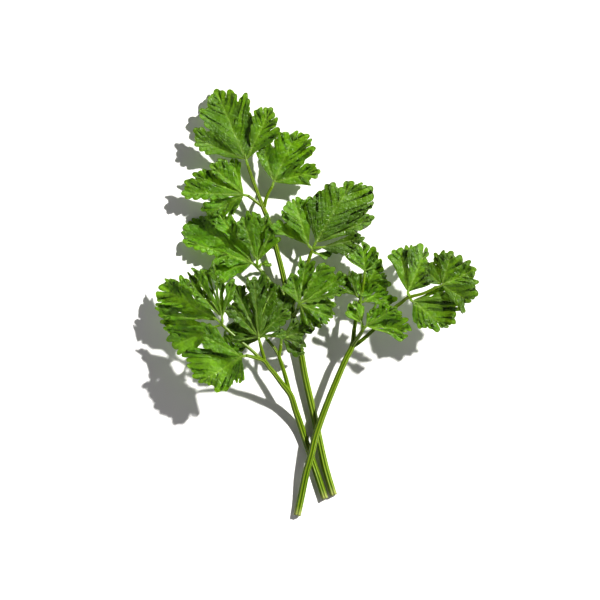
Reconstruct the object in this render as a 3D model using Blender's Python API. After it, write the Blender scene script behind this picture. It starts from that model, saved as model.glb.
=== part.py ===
"""Parsley bunch: three cut sprigs of parsley lying across one another on a flat surface.

Metres, +Z up. The surface is z = 0 and the origin is the middle of the bunch's outline on it.
+Y runs from the cut ends towards the tallest leaf. A bearing is in degrees clockwise from +Y.
Every stalk is one solid with its forks, and every leaf blade is one solid with its lobes and teeth.
"""

import math

import bmesh
import bpy
from mathutils import Vector

MM = 0.001

# Driving sizes, in millimetres
BLADE_THICKNESS = 0.8
ROOT_RADIUS = 0.45
TUBE_RESOLUTION = 2
TUBE_STEP = 5.0
WELD_DISTANCE = 0.001
SMOOTH_ANGLE = 50.0
BUNCH_SHIFT = (-0.55, -0.3)

# Shape of a lobe and its teeth, as shares of the lobe's length and half width
SHOULDER_FALL = 0.17
SHOULDER_POWER = 2.2
NOTCH_DEPTH = 0.08
NOTCH_POWER = 3
SIDE_NOTCH_DEPTH = 0.05
SIDE = 0.9
TOOTH_POINTS = (-1.0, -0.5, 0.0, 0.5)
RING_SHARES = (0.5, 1.0)
PLEAT_POWER = 1.5
ROOT_TURNS = (-50, 0, 50)

# Sizes of the block that cuts the stalks flat along the surface, in millimetres
GROUND_WIDTH = 300.0
GROUND_DEPTH = 4.0

# Colours of the two tissues
STALK_COLOUR = (0.22, 0.42, 0.04, 1.0)
STALK_ROUGHNESS = 0.45
BLADE_COLOUR = (0.07, 0.24, 0.03, 1.0)
BLADE_ROUGHNESS = 0.5

# Each stalk is a list of runs. A run is its points, as (x, y, height of its middle, radius) in millimetres.
STALKS = {
    "stalk_tall": [
        [(5.5, -63.8, 1.0, 1.15), (2.6, -54, 1.0, 1.15), (-0.5, -39.7, 1.25, 1.12),
         (-2.2, -32.2, 1.5, 1.08), (-4.1, -23.7, 1.8, 1.03), (-5.6, -15.2, 2.2, 1.0),
         (-8.7, -0.5, 3.2, 0.95), (-10.8, 7.2, 3.9, 0.9), (-11.9, 11.9, 4.3, 0.85), (-13.6, 18.3, 4.7, 0.8),
         (-16, 27, 5.2, 0.75), (-17.8, 31.6, 5.5, 0.72), (-19.9, 37, 5.8, 0.6), (-22.1, 43.1, 6.2, 0.5),
         (-23, 45.8, 6.4, 0.45)],
        [(-18, 32.2, 5.5, 0.6), (-19.9, 33.7, 5.7, 0.52), (-21.8, 35.1, 5.9, 0.48), (-23, 35.9, 6.0, 0.45)],
        [(-17.6, 32.1, 5.5, 0.6), (-16.8, 35.3, 5.8, 0.52), (-15.6, 37.8, 6.0, 0.48),
         (-14.8, 39, 6.1, 0.45)],
        [(-9.2, 0, 3.3, 0.75), (-11.5, 3.4, 3.9, 0.65), (-14.8, 6.2, 4.5, 0.6), (-18.1, 10.3, 5.1, 0.55),
         (-19.9, 12.1, 5.4, 0.5)],
        [(-8.4, -1.0, 3.2, 0.75), (-6.2, 4.6, 4.2, 0.65), (-3.8, 11.5, 5.3, 0.58), (-2.2, 16.2, 6.0, 0.55),
         (-1.4, 18.2, 6.3, 0.5)],
        [(-7.9, -4.0, 3.0, 0.7), (-7.3, -3.4, 5.0, 0.6), (-6.7, -2.4, 7.6, 0.55), (-6.2, -1.6, 9.0, 0.5)],
    ],
    "stalk_left": [
        [(2.6, -65, 0.95, 1.08), (0.3, -57.9, 0.95, 1.08), (-1.2, -53.5, 0.95, 1.05),
         (-4.4, -43.9, 1.3, 1.05), (-5.8, -39.5, 2.0, 1.03), (-7.2, -35.4, 3.4, 1.0),
         (-8.8, -30.5, 5.8, 0.95), (-11.8, -26.5, 8.2, 0.85), (-14, -23.5, 10.2, 0.78),
         (-16.1, -21, 12.2, 0.72), (-17.6, -19, 13.6, 0.68), (-20.4, -18, 15.3, 0.6),
         (-23.1, -17.3, 16.7, 0.52), (-23.6, -17.3, 16.9, 0.5)],
        [(-17.2, -19.4, 13.3, 0.6), (-19.3, -17.8, 14.1, 0.55), (-21.8, -15.4, 14.7, 0.52),
         (-24.4, -13.3, 15.2, 0.5), (-27.7, -10.5, 15.6, 0.48), (-30.3, -8.2, 15.9, 0.45),
         (-31.6, -7.0, 16.3, 0.42)],
        [(-17.3, -19.6, 13.3, 0.6), (-17.8, -17.3, 14.2, 0.55), (-18.6, -14.6, 15.0, 0.5),
         (-19, -12.8, 15.4, 0.48)],
        [(-8.9, -30.8, 5.6, 0.75), (-10.3, -25, 7.0, 0.68), (-11.6, -20.7, 8.0, 0.62),
         (-12.6, -17.5, 8.7, 0.58), (-12.2, -15.2, 9.0, 0.52), (-11.9, -13.2, 9.2, 0.46)],
        [(-12.6, -17.6, 8.7, 0.55), (-13.8, -15.4, 8.9, 0.5), (-15.4, -13.3, 9.1, 0.48),
         (-16.6, -12, 9.2, 0.45)],
    ],
    "stalk_right": [
        [(-6.6, -70.5, 1.0, 1.15), (-5.4, -65, 1.5, 1.15), (-3.6, -56.3, 3.0, 1.13), (-2, -50.6, 4.1, 1.1),
         (-0.3, -43.6, 4.8, 1.08), (2.9, -34.5, 5.4, 1.03), (6.5, -25.6, 6.0, 0.98),
         (9.6, -18.4, 6.5, 0.93), (11.8, -14, 6.8, 0.85), (12.3, -9.2, 7.0, 0.65), (12.9, -5.2, 7.2, 0.58),
         (13.7, -0.8, 7.5, 0.52), (14.7, 2.4, 7.8, 0.48), (15.4, 7, 8.2, 0.42), (15.7, 9.4, 8.4, 0.4)],
        [(11.7, -14.2, 6.8, 0.7), (14.1, -10.6, 10.4, 0.6), (15.2, -8.8, 12.4, 0.55)],
        [(11.6, -14.4, 6.7, 0.7), (14.4, -12.6, 7.7, 0.62), (18.8, -8.7, 9.6, 0.6),
         (22.7, -4.5, 11.5, 0.58), (24.8, -2.1, 12.5, 0.56), (28.4, 0.6, 14.7, 0.55), (30.2, 2, 16.2, 0.52),
         (35.3, 3.4, 17.0, 0.46), (38.9, 5.1, 17.5, 0.42), (40.2, 5.6, 17.6, 0.4)],
    ],
}

# A blade's lobes are (bearing, length in mm, half width in degrees, teeth, depth of the cleft after it, lift
# of its tip in mm). Depth 0.3 means that the cleft ends at 0.3 of the shorter neighbour's length from the leaf's
# base. slope is the rise in mm for each mm along +X and +Y, and droop how far the longest tip falls below that
# plane.
LEAVES = {
    "tall_top_leaf": {
        "base": (-23.5, 47.7, 7.0), "slope": (0.05, 0.0), "droop": 0.9, "pleat": 0.9,
        "lobes": [(-76, 15.2, 6, 2, 0.88, 1.6), (-61, 19, 10, 3, 0.4, 1.2), (-44, 21.6, 6.5, 2, 0.86, -1.3),
                  (-27, 25.4, 9.5, 3, 0.9, -1.2), (-12, 24.2, 5, 1, 0.82, 0), (1, 21.6, 7, 2, 0.4, 0.5),
                  (20, 19.6, 9.5, 3, 0.85, 1.2), (37, 18.8, 6, 2, 0.85, 1.6), (49, 15.2, 4.5, 1, 0.6, 1.8)],
    },
    "tall_upper_right_leaf": {
        "base": (-14.4, 40.4, 6.2), "slope": (0.05, 0.0), "droop": -0.8, "pleat": 0.8,
        "lobes": [(-18, 13.2, 15, 3, 0.5, -1.6), (11, 17.7, 11, 3, 0.88, 0), (36, 19.6, 13, 3, 0.35, 0.3),
                  (67, 15.6, 9.5, 2, 0.88, -0.2), (87, 14.6, 9, 2, 0.5, -0.3)],
    },
    "tall_upper_left_leaf": {
        "base": (-24.3, 36.1, 6.2), "slope": (-0.03, 0.02), "droop": 0.0, "pleat": 0.8,
        "lobes": [(-140, 8.6, 13, 2, 0.8, 0), (-112, 13.8, 14.5, 3, 0.45, 0.3), (-85, 20.6, 12, 3, 0.72, -0.5),
                  (-64, 17.6, 7.8, 2, 0.62, 0.8), (-41, 14.8, 13.5, 3, 0.75, 0),
                  (-17, 12.2, 10, 2, 0.5, -0.3)],
    },
    "tall_left_leaf": {
        "base": (-21.4, 13.4, 5.6), "slope": (0.0, -0.02), "droop": 3.0, "pleat": 0.7,
        "lobes": [(-120, 8.2, 8, 1, 0.85, 0), (-101, 14.4, 10, 3, 0.5, 0.6), (-80, 21, 6.5, 2, 0.8, 1.2),
                  (-67, 25.4, 6, 2, 0.88, -2.4), (-53, 25, 7.5, 3, 0.72, -1.8),
                  (-35, 21.6, 7.5, 3, 0.85, -0.2), (-21, 17.8, 5.5, 2, 0.5, -0.9)],
    },
    "tall_middle_leaf": {
        "base": (-19.9, 13.9, 6.55), "slope": (0.0, 0.07), "droop": 0.0, "pleat": 0.7,
        "lobes": [(-32, 11.6, 8, 2, 0.8, 0.5), (-14.5, 15.4, 8, 2, 0.7, 0.2), (-1, 16.3, 5, 2, 0.88, 0),
                  (12, 14.8, 6.5, 2, 0.7, 0.2), (26, 12.8, 7, 2, 0.8, -0.9), (41, 11, 7, 2, 0.7, -1.1)],
    },
    "tall_tiny_leaf": {
        "base": (-18.6, 13.0, 5.7), "slope": (0.0, 0.0), "droop": 0.0, "pleat": 0.2,
        "lobes": [(74, 3.9, 32, 3, 0.5, 0)],
    },
    "tall_right_left_leaf": {
        "base": (-2.8, 19.3, 6.6), "slope": (-0.05, 0.05), "droop": 0.3, "pleat": 0.8,
        "lobes": [(-57, 13.2, 12.5, 3, 0.6, 2.3), (-30, 15.8, 11, 3, 0.88, 0.3),
                  (-12, 16.8, 7, 2, 0.85, 0.2), (1, 15.2, 5.5, 2, 0.6, -0.5)],
    },
    "tall_right_end_leaf": {
        "base": (-0.5, 20.1, 6.9), "slope": (-0.12, 0.05), "droop": 1.4, "pleat": 0.8,
        "lobes": [(4, 17, 5, 2, 0.85, -0.3), (15.5, 21.2, 6.3, 3, 0.8, 0.4), (29, 23.4, 6.5, 2, 0.86, 0.2),
                  (43.5, 26, 8, 4, 0.88, 0), (55.5, 24, 4, 1, 0.6, -0.6), (67.5, 21.2, 7.5, 3, 0.5, -3.4)],
    },
    "tall_right_lower_leaf": {
        "base": (0.6, 18.6, 7.5), "slope": (-0.03, 0.0), "droop": 0.4, "pleat": 0.5,
        "lobes": [(73, 14.6, 6.5, 2, 0.8, 0), (86.5, 13.2, 6, 2, 0.8, 0), (100, 9.6, 7, 1, 0.5, 0)],
    },
    "tall_right_small_leaf": {
        "base": (-0.2, 16.7, 5.6), "slope": (0.0, 0.0), "droop": 0.3, "pleat": 0.3,
        "lobes": [(88, 4.8, 14, 2, 0.7, 0), (116, 4.2, 13, 2, 0.5, 0)],
    },
    "tall_centre_leaf": {
        "base": (-5.9, -0.2, 10.6), "slope": (0.0, 0.0), "droop": 0.4, "pleat": 0.9,
        "lobes": [(-38, 8.8, 10, 2, 0.75, 0.4), (-14, 10.4, 14, 3, 0.7, 0.2),
                  (12.5, 13.6, 12, 3, 0.25, -0.8), (37, 16.7, 12.5, 3, 0.8, 0.8),
                  (58, 18.2, 8, 3, 0.7, 0.4), (73.5, 16.4, 6, 2, 0.25, 0), (91, 10.6, 10, 2, 0.7, -0.6),
                  (115, 11.4, 13.5, 3, 0.7, 0.2), (139, 9.9, 10, 2, 0.7, 0), (165, 7.8, 14, 2, 0.5, -0.5)],
    },
    "left_far_leaf": {
        "base": (-32.8, -5.6, 16.9), "slope": (0.38, -0.1), "droop": 0.8, "pleat": 0.6,
        "lobes": [(-78, 20.6, 6.5, 2, 0.85, 0), (-64, 22.8, 6.7, 3, 0.88, 0.3),
                  (-52.5, 22.6, 4.2, 1, 0.8, 0.3), (-43, 21.4, 4.6, 2, 0.5, 0.8)],
    },
    "left_upper_leaf": {
        "base": (-31.4, -5.0, 17.6), "slope": (0.0, 0.04), "droop": -0.4, "pleat": 1.0,
        "lobes": [(-39, 16.8, 5, 2, 0.75, 0.6), (-27, 17.4, 6.3, 2, 0.75, 0.6),
                  (-14, 17.2, 6.3, 3, 0.7, -0.2), (-1, 15, 6, 2, 0.7, 0.6), (15.5, 13.4, 10, 3, 0.5, 0)],
    },
    "left_lower_leaf": {
        "base": (-33.5, -7.6, 16.0), "slope": (0.38, 0.06), "droop": 0.8, "pleat": 0.6,
        "lobes": [(-130, 15.4, 8, 2, 0.85, 0.8), (-114, 16.5, 7.7, 2, 0.86, 0), (-98.5, 17.1, 7.5, 2, 0.7, 0),
                  (-85.5, 18.2, 5.5, 2, 0.5, -0.4)],
    },
    "left_inner_leaf": {
        "base": (-30.6, -9.8, 14.4), "slope": (0.0, 0.12), "droop": 1.8, "pleat": 0.5,
        "lobes": [(150, 9, 13, 3, 0.7, 0), (178, 7.2, 14, 3, 0.5, 0)],
    },
    "left_bottom_leaf": {
        "base": (-24.9, -17.6, 17.2), "slope": (0.03, -0.02), "droop": 0.9, "pleat": 0.8,
        "lobes": [(-173, 9, 12, 2, 0.8, 0.6), (-151, 14, 10, 3, 0.82, 0.2), (-130, 15.6, 9.5, 3, 0.85, 0.4),
                  (-108.5, 17.4, 11, 3, 0.82, 0), (-88.5, 18.4, 7.5, 2, 0.55, -0.4),
                  (-61, 14.6, 17, 3, 0.5, 0.5)],
    },
    "left_centre_leaf": {
        "base": (-19.3, -11.3, 16.1), "slope": (-0.08, 0.04), "droop": 0.6, "pleat": 0.9,
        "lobes": [(-93, 9, 11, 2, 0.6, 0.4), (-70, 11.4, 11, 2, 0.55, 0.9), (-47, 14.8, 10, 3, 0.55, -0.7),
                  (-25, 18.4, 9.5, 3, 0.7, -0.3), (-9, 20, 6, 2, 0.8, 0.5), (4, 20, 6.5, 2, 0.7, -0.3),
                  (20, 17.2, 9, 3, 0.6, 0.4), (48, 13.6, 18, 4, 0.6, -0.4), (80, 9.4, 13.5, 2, 0.5, 0)],
    },
    "left_middle_leaf": {
        "base": (-17.3, -10.6, 9.2), "slope": (0.0, 0.0), "droop": 1.2, "pleat": 0.5,
        "lobes": [(-114, 10.4, 11, 2, 0.7, -0.4), (-89, 11.6, 13, 3, 0.5, -0.4), (-10, 12, 13, 2, 0.5, 0),
                  (25, 15.6, 12, 3, 0.5, -0.4)],
    },
    "left_shaded_leaf": {
        "base": (-11.6, -11.4, 10.0), "slope": (-0.02, 0.0), "droop": 2.0, "pleat": 0.5,
        "lobes": [(39, 8, 13, 2, 0.7, 0), (66, 10.6, 13, 3, 0.8, 0), (87.5, 10.6, 7.5, 2, 0.7, 0),
                  (106.5, 8.6, 11, 2, 0.75, -0.4), (138, 5.4, 19, 2, 0.5, -0.6)],
    },
    "right_top_leaf": {
        "base": (15.9, 10.7, 8.9), "slope": (0.0, 0.0), "droop": 0.3, "pleat": 0.6,
        "lobes": [(-42, 6.8, 12, 2, 0.84, 0), (-15, 8.9, 13.5, 2, 0.86, 0.3), (8, 9.7, 9, 2, 0.86, 0),
                  (27, 8.6, 9.5, 2, 0.84, 0.3), (53, 7.2, 16, 3, 0.5, -0.3)],
    },
    "right_inner_left_leaf": {
        "base": (13.4, 2.4, 8.6), "slope": (0.0, 0.02), "droop": -0.6, "pleat": 0.5,
        "lobes": [(-62, 5, 10, 2, 0.85, -0.3), (-39, 7, 13, 2, 0.85, 0), (-14, 8.8, 12, 2, 0.85, 0.4),
                  (7, 8, 8.5, 2, 0.5, -0.4)],
    },
    "right_inner_right_leaf": {
        "base": (15.3, 0.6, 8.6), "slope": (0.02, 0.0), "droop": -0.8, "pleat": 0.5,
        "lobes": [(15, 7, 9, 2, 0.6, 1.2), (38, 7.8, 12, 2, 0.7, 0.3), (64, 8.8, 13, 2, 0.86, 0),
                  (87, 9.8, 10, 3, 0.5, -0.3)],
    },
    "right_inner_shaded_leaf": {
        "base": (16.6, 6.6, 6.9), "slope": (-0.02, 0.0), "droop": 0.6, "pleat": 0.4,
        "lobes": [(38, 7.4, 12, 2, 0.8, 0), (63, 7, 12, 2, 0.8, 0), (89, 7.8, 12, 3, 0.84, 0),
                  (112, 7, 10, 2, 0.5, 0)],
    },
    "right_inner_lower_leaf": {
        "base": (14.9, -6.6, 12.2), "slope": (0.03, 0.0), "droop": 0.4, "pleat": 0.5,
        "lobes": [(-56, 6.4, 10, 2, 0.85, 0), (-36, 7.7, 9.5, 2, 0.85, 0), (-18, 7.8, 8, 2, 0.8, 0),
                  (0, 6.2, 9, 2, 0.5, 0)],
    },
    "right_low_leaf": {
        "base": (16.2, -7.6, 14.0), "slope": (0.25, 0.04), "droop": 0.6, "pleat": 0.8,
        "lobes": [(17, 7, 11, 2, 0.7, 0.4), (38.5, 9.4, 10.5, 2, 0.7, 0), (60, 12, 10.5, 2, 0.75, 0.3),
                  (81, 14, 10, 3, 0.8, 0), (103, 13.8, 11, 3, 0.5, -1.4)],
    },
    "right_end_left_leaf": {
        "base": (30.1, 3.6, 17.1), "slope": (0.03, -0.36), "droop": 1.6, "pleat": 0.9,
        "lobes": [(-25, 10.6, 5.5, 1, 0.9, -0.3), (-14, 14.2, 5.5, 2, 0.88, 0), (-3, 16, 5, 2, 0.8, 0.3),
                  (9, 16.6, 6.5, 2, 0.88, 0), (21, 16.6, 5, 2, 0.82, -0.2), (32, 15.4, 5.5, 2, 0.86, 0),
                  (42, 12.4, 5, 1, 0.6, 0), (57, 8.4, 9, 2, 0.5, 0.4)],
    },
    "right_end_tip_leaf": {
        "base": (41.4, 6.1, 18.3), "slope": (0.03, 0.0), "droop": 0.6, "pleat": 0.7,
        "lobes": [(-34, 7.6, 10, 2, 0.7, -0.6), (-12, 9.8, 6, 1, 0.9, -0.3), (1, 11.4, 6, 2, 0.84, 0),
                  (14, 12, 6, 2, 0.88, 0.3), (28, 12.4, 7, 2, 0.8, 0), (44, 13.2, 8, 3, 0.88, 0.3),
                  (61.5, 13.6, 8, 2, 0.86, 0), (79.5, 13.2, 8.5, 3, 0.75, -0.3),
                  (99.5, 12.9, 10, 3, 0.82, 0.2), (120.5, 11.7, 10, 2, 0.86, 0),
                  (138, 12.2, 6.7, 1, 0.5, 0.3)],
    },
    "right_end_lower_leaf": {
        "base": (31.4, 0.9, 15.9), "slope": (-0.03, 0.0), "droop": 0.9, "pleat": 0.7,
        "lobes": [(67, 10.2, 8, 2, 0.9, 0), (83, 16.2, 7, 2, 0.8, -0.5), (98, 15.4, 7.3, 2, 0.88, 0),
                  (113, 16.4, 7.3, 3, 0.88, 0.3), (127, 15.4, 6, 2, 0.84, 0),
                  (139, 13.7, 5.7, 2, 0.88, 0.2), (151, 10.8, 6, 2, 0.88, 0), (166, 7, 8.5, 1, 0.5, 0)],
    },
}


def clear_scene():
    for thing in list(bpy.data.objects):
        bpy.data.objects.remove(thing, do_unlink=True)


def new_collection(name, shown=True):
    collection = bpy.data.collections.new(name)
    collection.hide_render = not shown
    bpy.context.scene.collection.children.link(collection)
    return collection


def new_material(name, colour, roughness):
    material = bpy.data.materials.new(name)
    material.use_nodes = True
    shader = material.node_tree.nodes["Principled BSDF"]
    shader.inputs["Base Color"].default_value = colour
    shader.inputs["Roughness"].default_value = roughness
    shader.inputs["Metallic"].default_value = 0.0
    return material


def smooth_run(points, step):
    """Points every step or so along a Catmull-Rom curve through the run's own points, with their radii."""
    ends = [points[0], *points, points[-1]]
    made = []
    for a, b, c, d in zip(ends, ends[1:], ends[2:], ends[3:]):
        length = math.dist(b[:3], c[:3])
        pieces = max(1, round(length / step))
        for k in range(pieces):
            t = k / pieces
            made.append([
                0.5 * (2 * q + (r - p) * t + (2 * p - 5 * q + 4 * r - s) * t**2
                       + (3 * q - p - 3 * r + s) * t**3)
                for p, q, r, s in zip(a, b, c, d)
            ])
    made.append(list(points[-1]))
    return made


def tube_mesh(name, points, collection):
    """A closed tube whose radius follows its points, as a mesh object."""
    curve = bpy.data.curves.new(name, "CURVE")
    curve.dimensions = "3D"
    curve.twist_mode = "Z_UP"
    curve.bevel_depth = MM
    curve.bevel_resolution = TUBE_RESOLUTION
    curve.use_fill_caps = True
    run = smooth_run(points, TUBE_STEP)
    spline = curve.splines.new("POLY")
    spline.points.add(len(run) - 1)
    for spot, (x, y, z, radius) in zip(spline.points, run):
        spot.co = ((x + BUNCH_SHIFT[0]) * MM, (y + BUNCH_SHIFT[1]) * MM, z * MM, 1.0)
        spot.radius = radius
    drawn = bpy.data.objects.new(name, curve)
    collection.objects.link(drawn)
    graph = bpy.context.evaluated_depsgraph_get()
    mesh = bpy.data.meshes.new_from_object(drawn.evaluated_get(graph))
    cleaned = bmesh.new()
    cleaned.from_mesh(mesh)
    bmesh.ops.remove_doubles(cleaned, verts=cleaned.verts, dist=WELD_DISTANCE * MM)
    bmesh.ops.recalc_face_normals(cleaned, faces=cleaned.faces)
    cleaned.to_mesh(mesh)
    cleaned.free()
    bpy.data.objects.remove(drawn, do_unlink=True)
    tube = bpy.data.objects.new(name, mesh)
    collection.objects.link(tube)
    return tube


def ground_block(collection):
    """Everything below the surface, which cuts the small flat spots that the stalks lie on."""
    mesh = bpy.data.meshes.new("below_surface")
    block = bmesh.new()
    bmesh.ops.create_cube(block, size=1.0)
    bmesh.ops.scale(block, vec=Vector((GROUND_WIDTH, GROUND_WIDTH, GROUND_DEPTH)) * MM, verts=block.verts)
    bmesh.ops.translate(block, vec=Vector((0, 0, -GROUND_DEPTH * MM / 2)), verts=block.verts)
    block.to_mesh(mesh)
    block.free()
    cutter = bpy.data.objects.new("below_surface", mesh)
    cutter.hide_render = True
    cutter.display_type = "WIRE"
    collection.objects.link(cutter)
    return cutter


def apply_modifiers(thing):
    graph = bpy.context.evaluated_depsgraph_get()
    baked = bpy.data.meshes.new_from_object(thing.evaluated_get(graph))
    thing.modifiers.clear()
    thing.data = baked


def add_stalk(name, runs, material, shown, cutters, ground):
    """One stalk: its main run with its side stalks joined on, cut flat where it meets the surface."""
    body = tube_mesh(name, runs[0], shown)
    arms = [tube_mesh(f"{name}_arm_{number}", run, cutters) for number, run in enumerate(runs[1:], 1)]
    for arm in arms:
        join = body.modifiers.new("join", "BOOLEAN")
        join.operation = "UNION"
        join.solver = "EXACT"
        join.object = arm
    flat = body.modifiers.new("flat", "BOOLEAN")
    flat.operation = "DIFFERENCE"
    flat.solver = "EXACT"
    flat.object = ground
    apply_modifiers(body)
    for arm in arms:
        bpy.data.objects.remove(arm, do_unlink=True)
    body.data.materials.clear()
    body.data.materials.append(material)
    body.data.shade_smooth()
    body.data.set_sharp_from_angle(angle=math.radians(SMOOTH_ANGLE))


def lobe_reach(length, across, place):
    """Distance to the outline at a place across a lobe, place running from -1 to 1 over each tooth."""
    shoulder = 1 - SHOULDER_FALL * abs(across) ** SHOULDER_POWER
    return length * shoulder * (1 - NOTCH_DEPTH * abs(place) ** NOTCH_POWER)


def blade_rays(lobes):
    """Rays from the leaf's base to its outline, as (bearing, reach, lobe number, place across the lobe)."""
    rays = []
    for number, (bearing, length, half_width, teeth, cleft, _) in enumerate(lobes):
        side_reach = length * (1 - SHOULDER_FALL) * (1 - SIDE_NOTCH_DEPTH)
        for tooth in range(teeth):
            for place in TOOTH_POINTS:
                across = -1 + (2 * tooth + 1 + place) / teeth
                reach = lobe_reach(length, across, place)
                if abs(across) > SIDE:
                    across, reach = math.copysign(SIDE, across), side_reach
                rays.append((bearing + across * half_width, reach, number, across))
        rays.append((bearing + SIDE * half_width, side_reach, number, SIDE))
        if number + 1 < len(lobes):
            following = lobes[number + 1]
            middle = (bearing + half_width + following[0] - following[2]) / 2
            rays.append((middle, cleft * min(length, following[1]), number, 1.0))
    return rays


def blade_height(form, x, y, number, across):
    """Height of the blade's middle above its base, in mm, x and y mm from it in the numbered lobe."""
    lobes = form["lobes"]
    longest = max(lobe[1] for lobe in lobes)
    length, lift = lobes[number][1], lobes[number][5]
    out = math.hypot(x, y)
    neighbours = lobes[max(0, number - 1):number + 2]
    cleft = max(lobe[4] for lobe in neighbours)
    past_cleft = max(0.0, min(1.0, (out / length - cleft) / (1 - cleft)))
    height = form["slope"][0] * x + form["slope"][1] * y - form["droop"] * (out / longest) ** 2
    height += form["pleat"] * (out / longest) * (abs(across) ** PLEAT_POWER - 0.5)
    return height + lift * past_cleft


def add_leaf(name, form, material, collection):
    """One blade: two like faces, a blade's thickness apart, over rays from the leaf's base, and its edge."""
    rays = blade_rays(form["lobes"])
    first, last = rays[0], rays[-1]
    behind = (last[0] + first[0] + 360) / 2
    for turn in ROOT_TURNS:
        rays.append((behind + turn, ROOT_RADIUS, len(form["lobes"]) - 1, 1.0))
    base_x, base_y, base_z = form["base"]
    base = Vector((base_x + BUNCH_SHIFT[0], base_y + BUNCH_SHIFT[1], base_z)) * MM
    lowest = BLADE_THICKNESS / 2 - base_z
    blade = bmesh.new()

    def ring(share, side):
        made = []
        for bearing, reach, number, across in rays:
            angle = math.radians(bearing)
            x, y = share * reach * math.sin(angle), share * reach * math.cos(angle)
            z = max(lowest, blade_height(form, x, y, number, across)) + side * BLADE_THICKNESS / 2
            made.append(blade.verts.new(base + Vector((x, y, z)) * MM))
        return made

    sheets = {}
    for side in (1, -1):
        centre = blade.verts.new(base + Vector((0, 0, side * BLADE_THICKNESS / 2)) * MM)
        rings = [ring(share, side) for share in RING_SHARES]
        sheets[side] = rings[-1]
        for k in range(len(rays)):
            n = (k + 1) % len(rays)
            faces = [(centre, rings[0][n], rings[0][k])]
            for inner, outer in zip(rings, rings[1:]):
                faces += [(inner[k], inner[n], outer[k]), (inner[n], outer[n], outer[k])]
            for face in faces:
                blade.faces.new(face if side > 0 else face[::-1])
    for k in range(len(rays)):
        n = (k + 1) % len(rays)
        blade.faces.new((sheets[1][k], sheets[1][n], sheets[-1][k]))
        blade.faces.new((sheets[1][n], sheets[-1][n], sheets[-1][k]))
    bmesh.ops.recalc_face_normals(blade, faces=blade.faces)
    mesh = bpy.data.meshes.new(name)
    blade.to_mesh(mesh)
    blade.free()
    mesh.materials.append(material)
    made = bpy.data.objects.new(name, mesh)
    collection.objects.link(made)


def main():
    clear_scene()
    shown = new_collection("parsley_bunch")
    cutters = new_collection("cutters", shown=False)
    stalk_green = new_material("stalk_green", STALK_COLOUR, STALK_ROUGHNESS)
    blade_green = new_material("blade_green", BLADE_COLOUR, BLADE_ROUGHNESS)
    ground = ground_block(cutters)
    for name, runs in STALKS.items():
        add_stalk(name, runs, stalk_green, shown, cutters, ground)
    for name, form in LEAVES.items():
        add_leaf(name, form, blade_green, shown)


main()
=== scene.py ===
"""Parsley bunch: three cut sprigs of parsley lying across one another, seen from straight above.

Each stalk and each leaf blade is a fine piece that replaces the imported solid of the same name, in the
same place. Lengths in the tables are millimetres, and a bearing is in degrees clockwise from +Y.
"""

import math
import random

import bmesh
import bpy
import numpy as np
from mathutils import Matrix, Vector

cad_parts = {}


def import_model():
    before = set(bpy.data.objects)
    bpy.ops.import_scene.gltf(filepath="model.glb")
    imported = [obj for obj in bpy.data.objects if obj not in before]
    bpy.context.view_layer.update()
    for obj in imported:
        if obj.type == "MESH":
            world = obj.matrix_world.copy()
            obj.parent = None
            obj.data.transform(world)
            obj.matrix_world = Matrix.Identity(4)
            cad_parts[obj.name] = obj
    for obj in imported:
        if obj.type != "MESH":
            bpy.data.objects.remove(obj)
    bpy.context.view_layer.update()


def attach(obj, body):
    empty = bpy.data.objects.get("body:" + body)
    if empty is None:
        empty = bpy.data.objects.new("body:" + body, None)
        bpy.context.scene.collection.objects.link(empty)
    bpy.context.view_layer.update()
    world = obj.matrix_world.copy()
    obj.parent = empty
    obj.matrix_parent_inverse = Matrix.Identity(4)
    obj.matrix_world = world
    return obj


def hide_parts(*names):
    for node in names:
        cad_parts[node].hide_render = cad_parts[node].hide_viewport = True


MM = 0.001
ROUND = 6.28  # a full turn, near enough for seeded phases
BUNCH_SHIFT = (-0.55, -0.3)

# Outline of a blade. DEEP_NOTCH is how near the base a notch comes, as a share of its neighbours' reach,
# to part two fingers, and NOTCH_LIMIT the most that a notch is deepened, as a share of the width there.
DEEP_NOTCH = 0.82
OVERLAP = 1.2
SIDE_BULGE = 0.6
OUTER_BULGE = 0.1
BULGE_LENGTH = 8
VEIN_SPREAD = 36
ARC_POWER = 3.0
TOOTH_WIDTH = 2.7
SCALLOP = 0.62
SCALLOP_LIMIT = 1.3
TOOTH_POWER = 2.7
NOTCH_DEEPER = 1.4
NOTCH_LIMIT = 0.23

# Grid of a fine blade. RINGS is for a finger of RINGS_LENGTH.
ARC_STEPS = 10
TOOTH_STEPS = 6
SIDE_STEPS = 8
RINGS = 20
RINGS_LENGTH = 18
FEWEST_RINGS = 8
RING_POWER = 0.9
BLADE_THICKNESS = 0.3
RIM_THICKNESS = 0.14
FLOOR_GAP = 0.13

# Relief of a blade, in millimetres
FOLD = 2.3
SHINGLE = 0.85
QUILT = 0.16
LOBULE_FOLD = 0.95
LOBULE_LEAN = 0.65
TOOTH_CURL = 0.26
ROLL = 0.2
WAVE = 0.35
WAVE_LENGTH = 9.0
CRUMPLE = 0.08
CRUMPLE_LENGTH = 2.2
VALLEY = 0.12
UNDER_RIB = 0.12
SWAY = 0.2
SWAY_LENGTH = 8.0

# Widths of a blade's veins, of the grooves over them and of its darker rim, in millimetres
RIB_WIDTH = 0.34
SIDE_VEIN_WIDTH = 0.2
RIB_GROOVE = 0.5
SIDE_GROOVE = 0.3
MARGIN_WIDTH = 0.5

# How far seeded chance moves the tint of a blade from its painted light tone
TINT_SPREAD = 0.1

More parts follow.
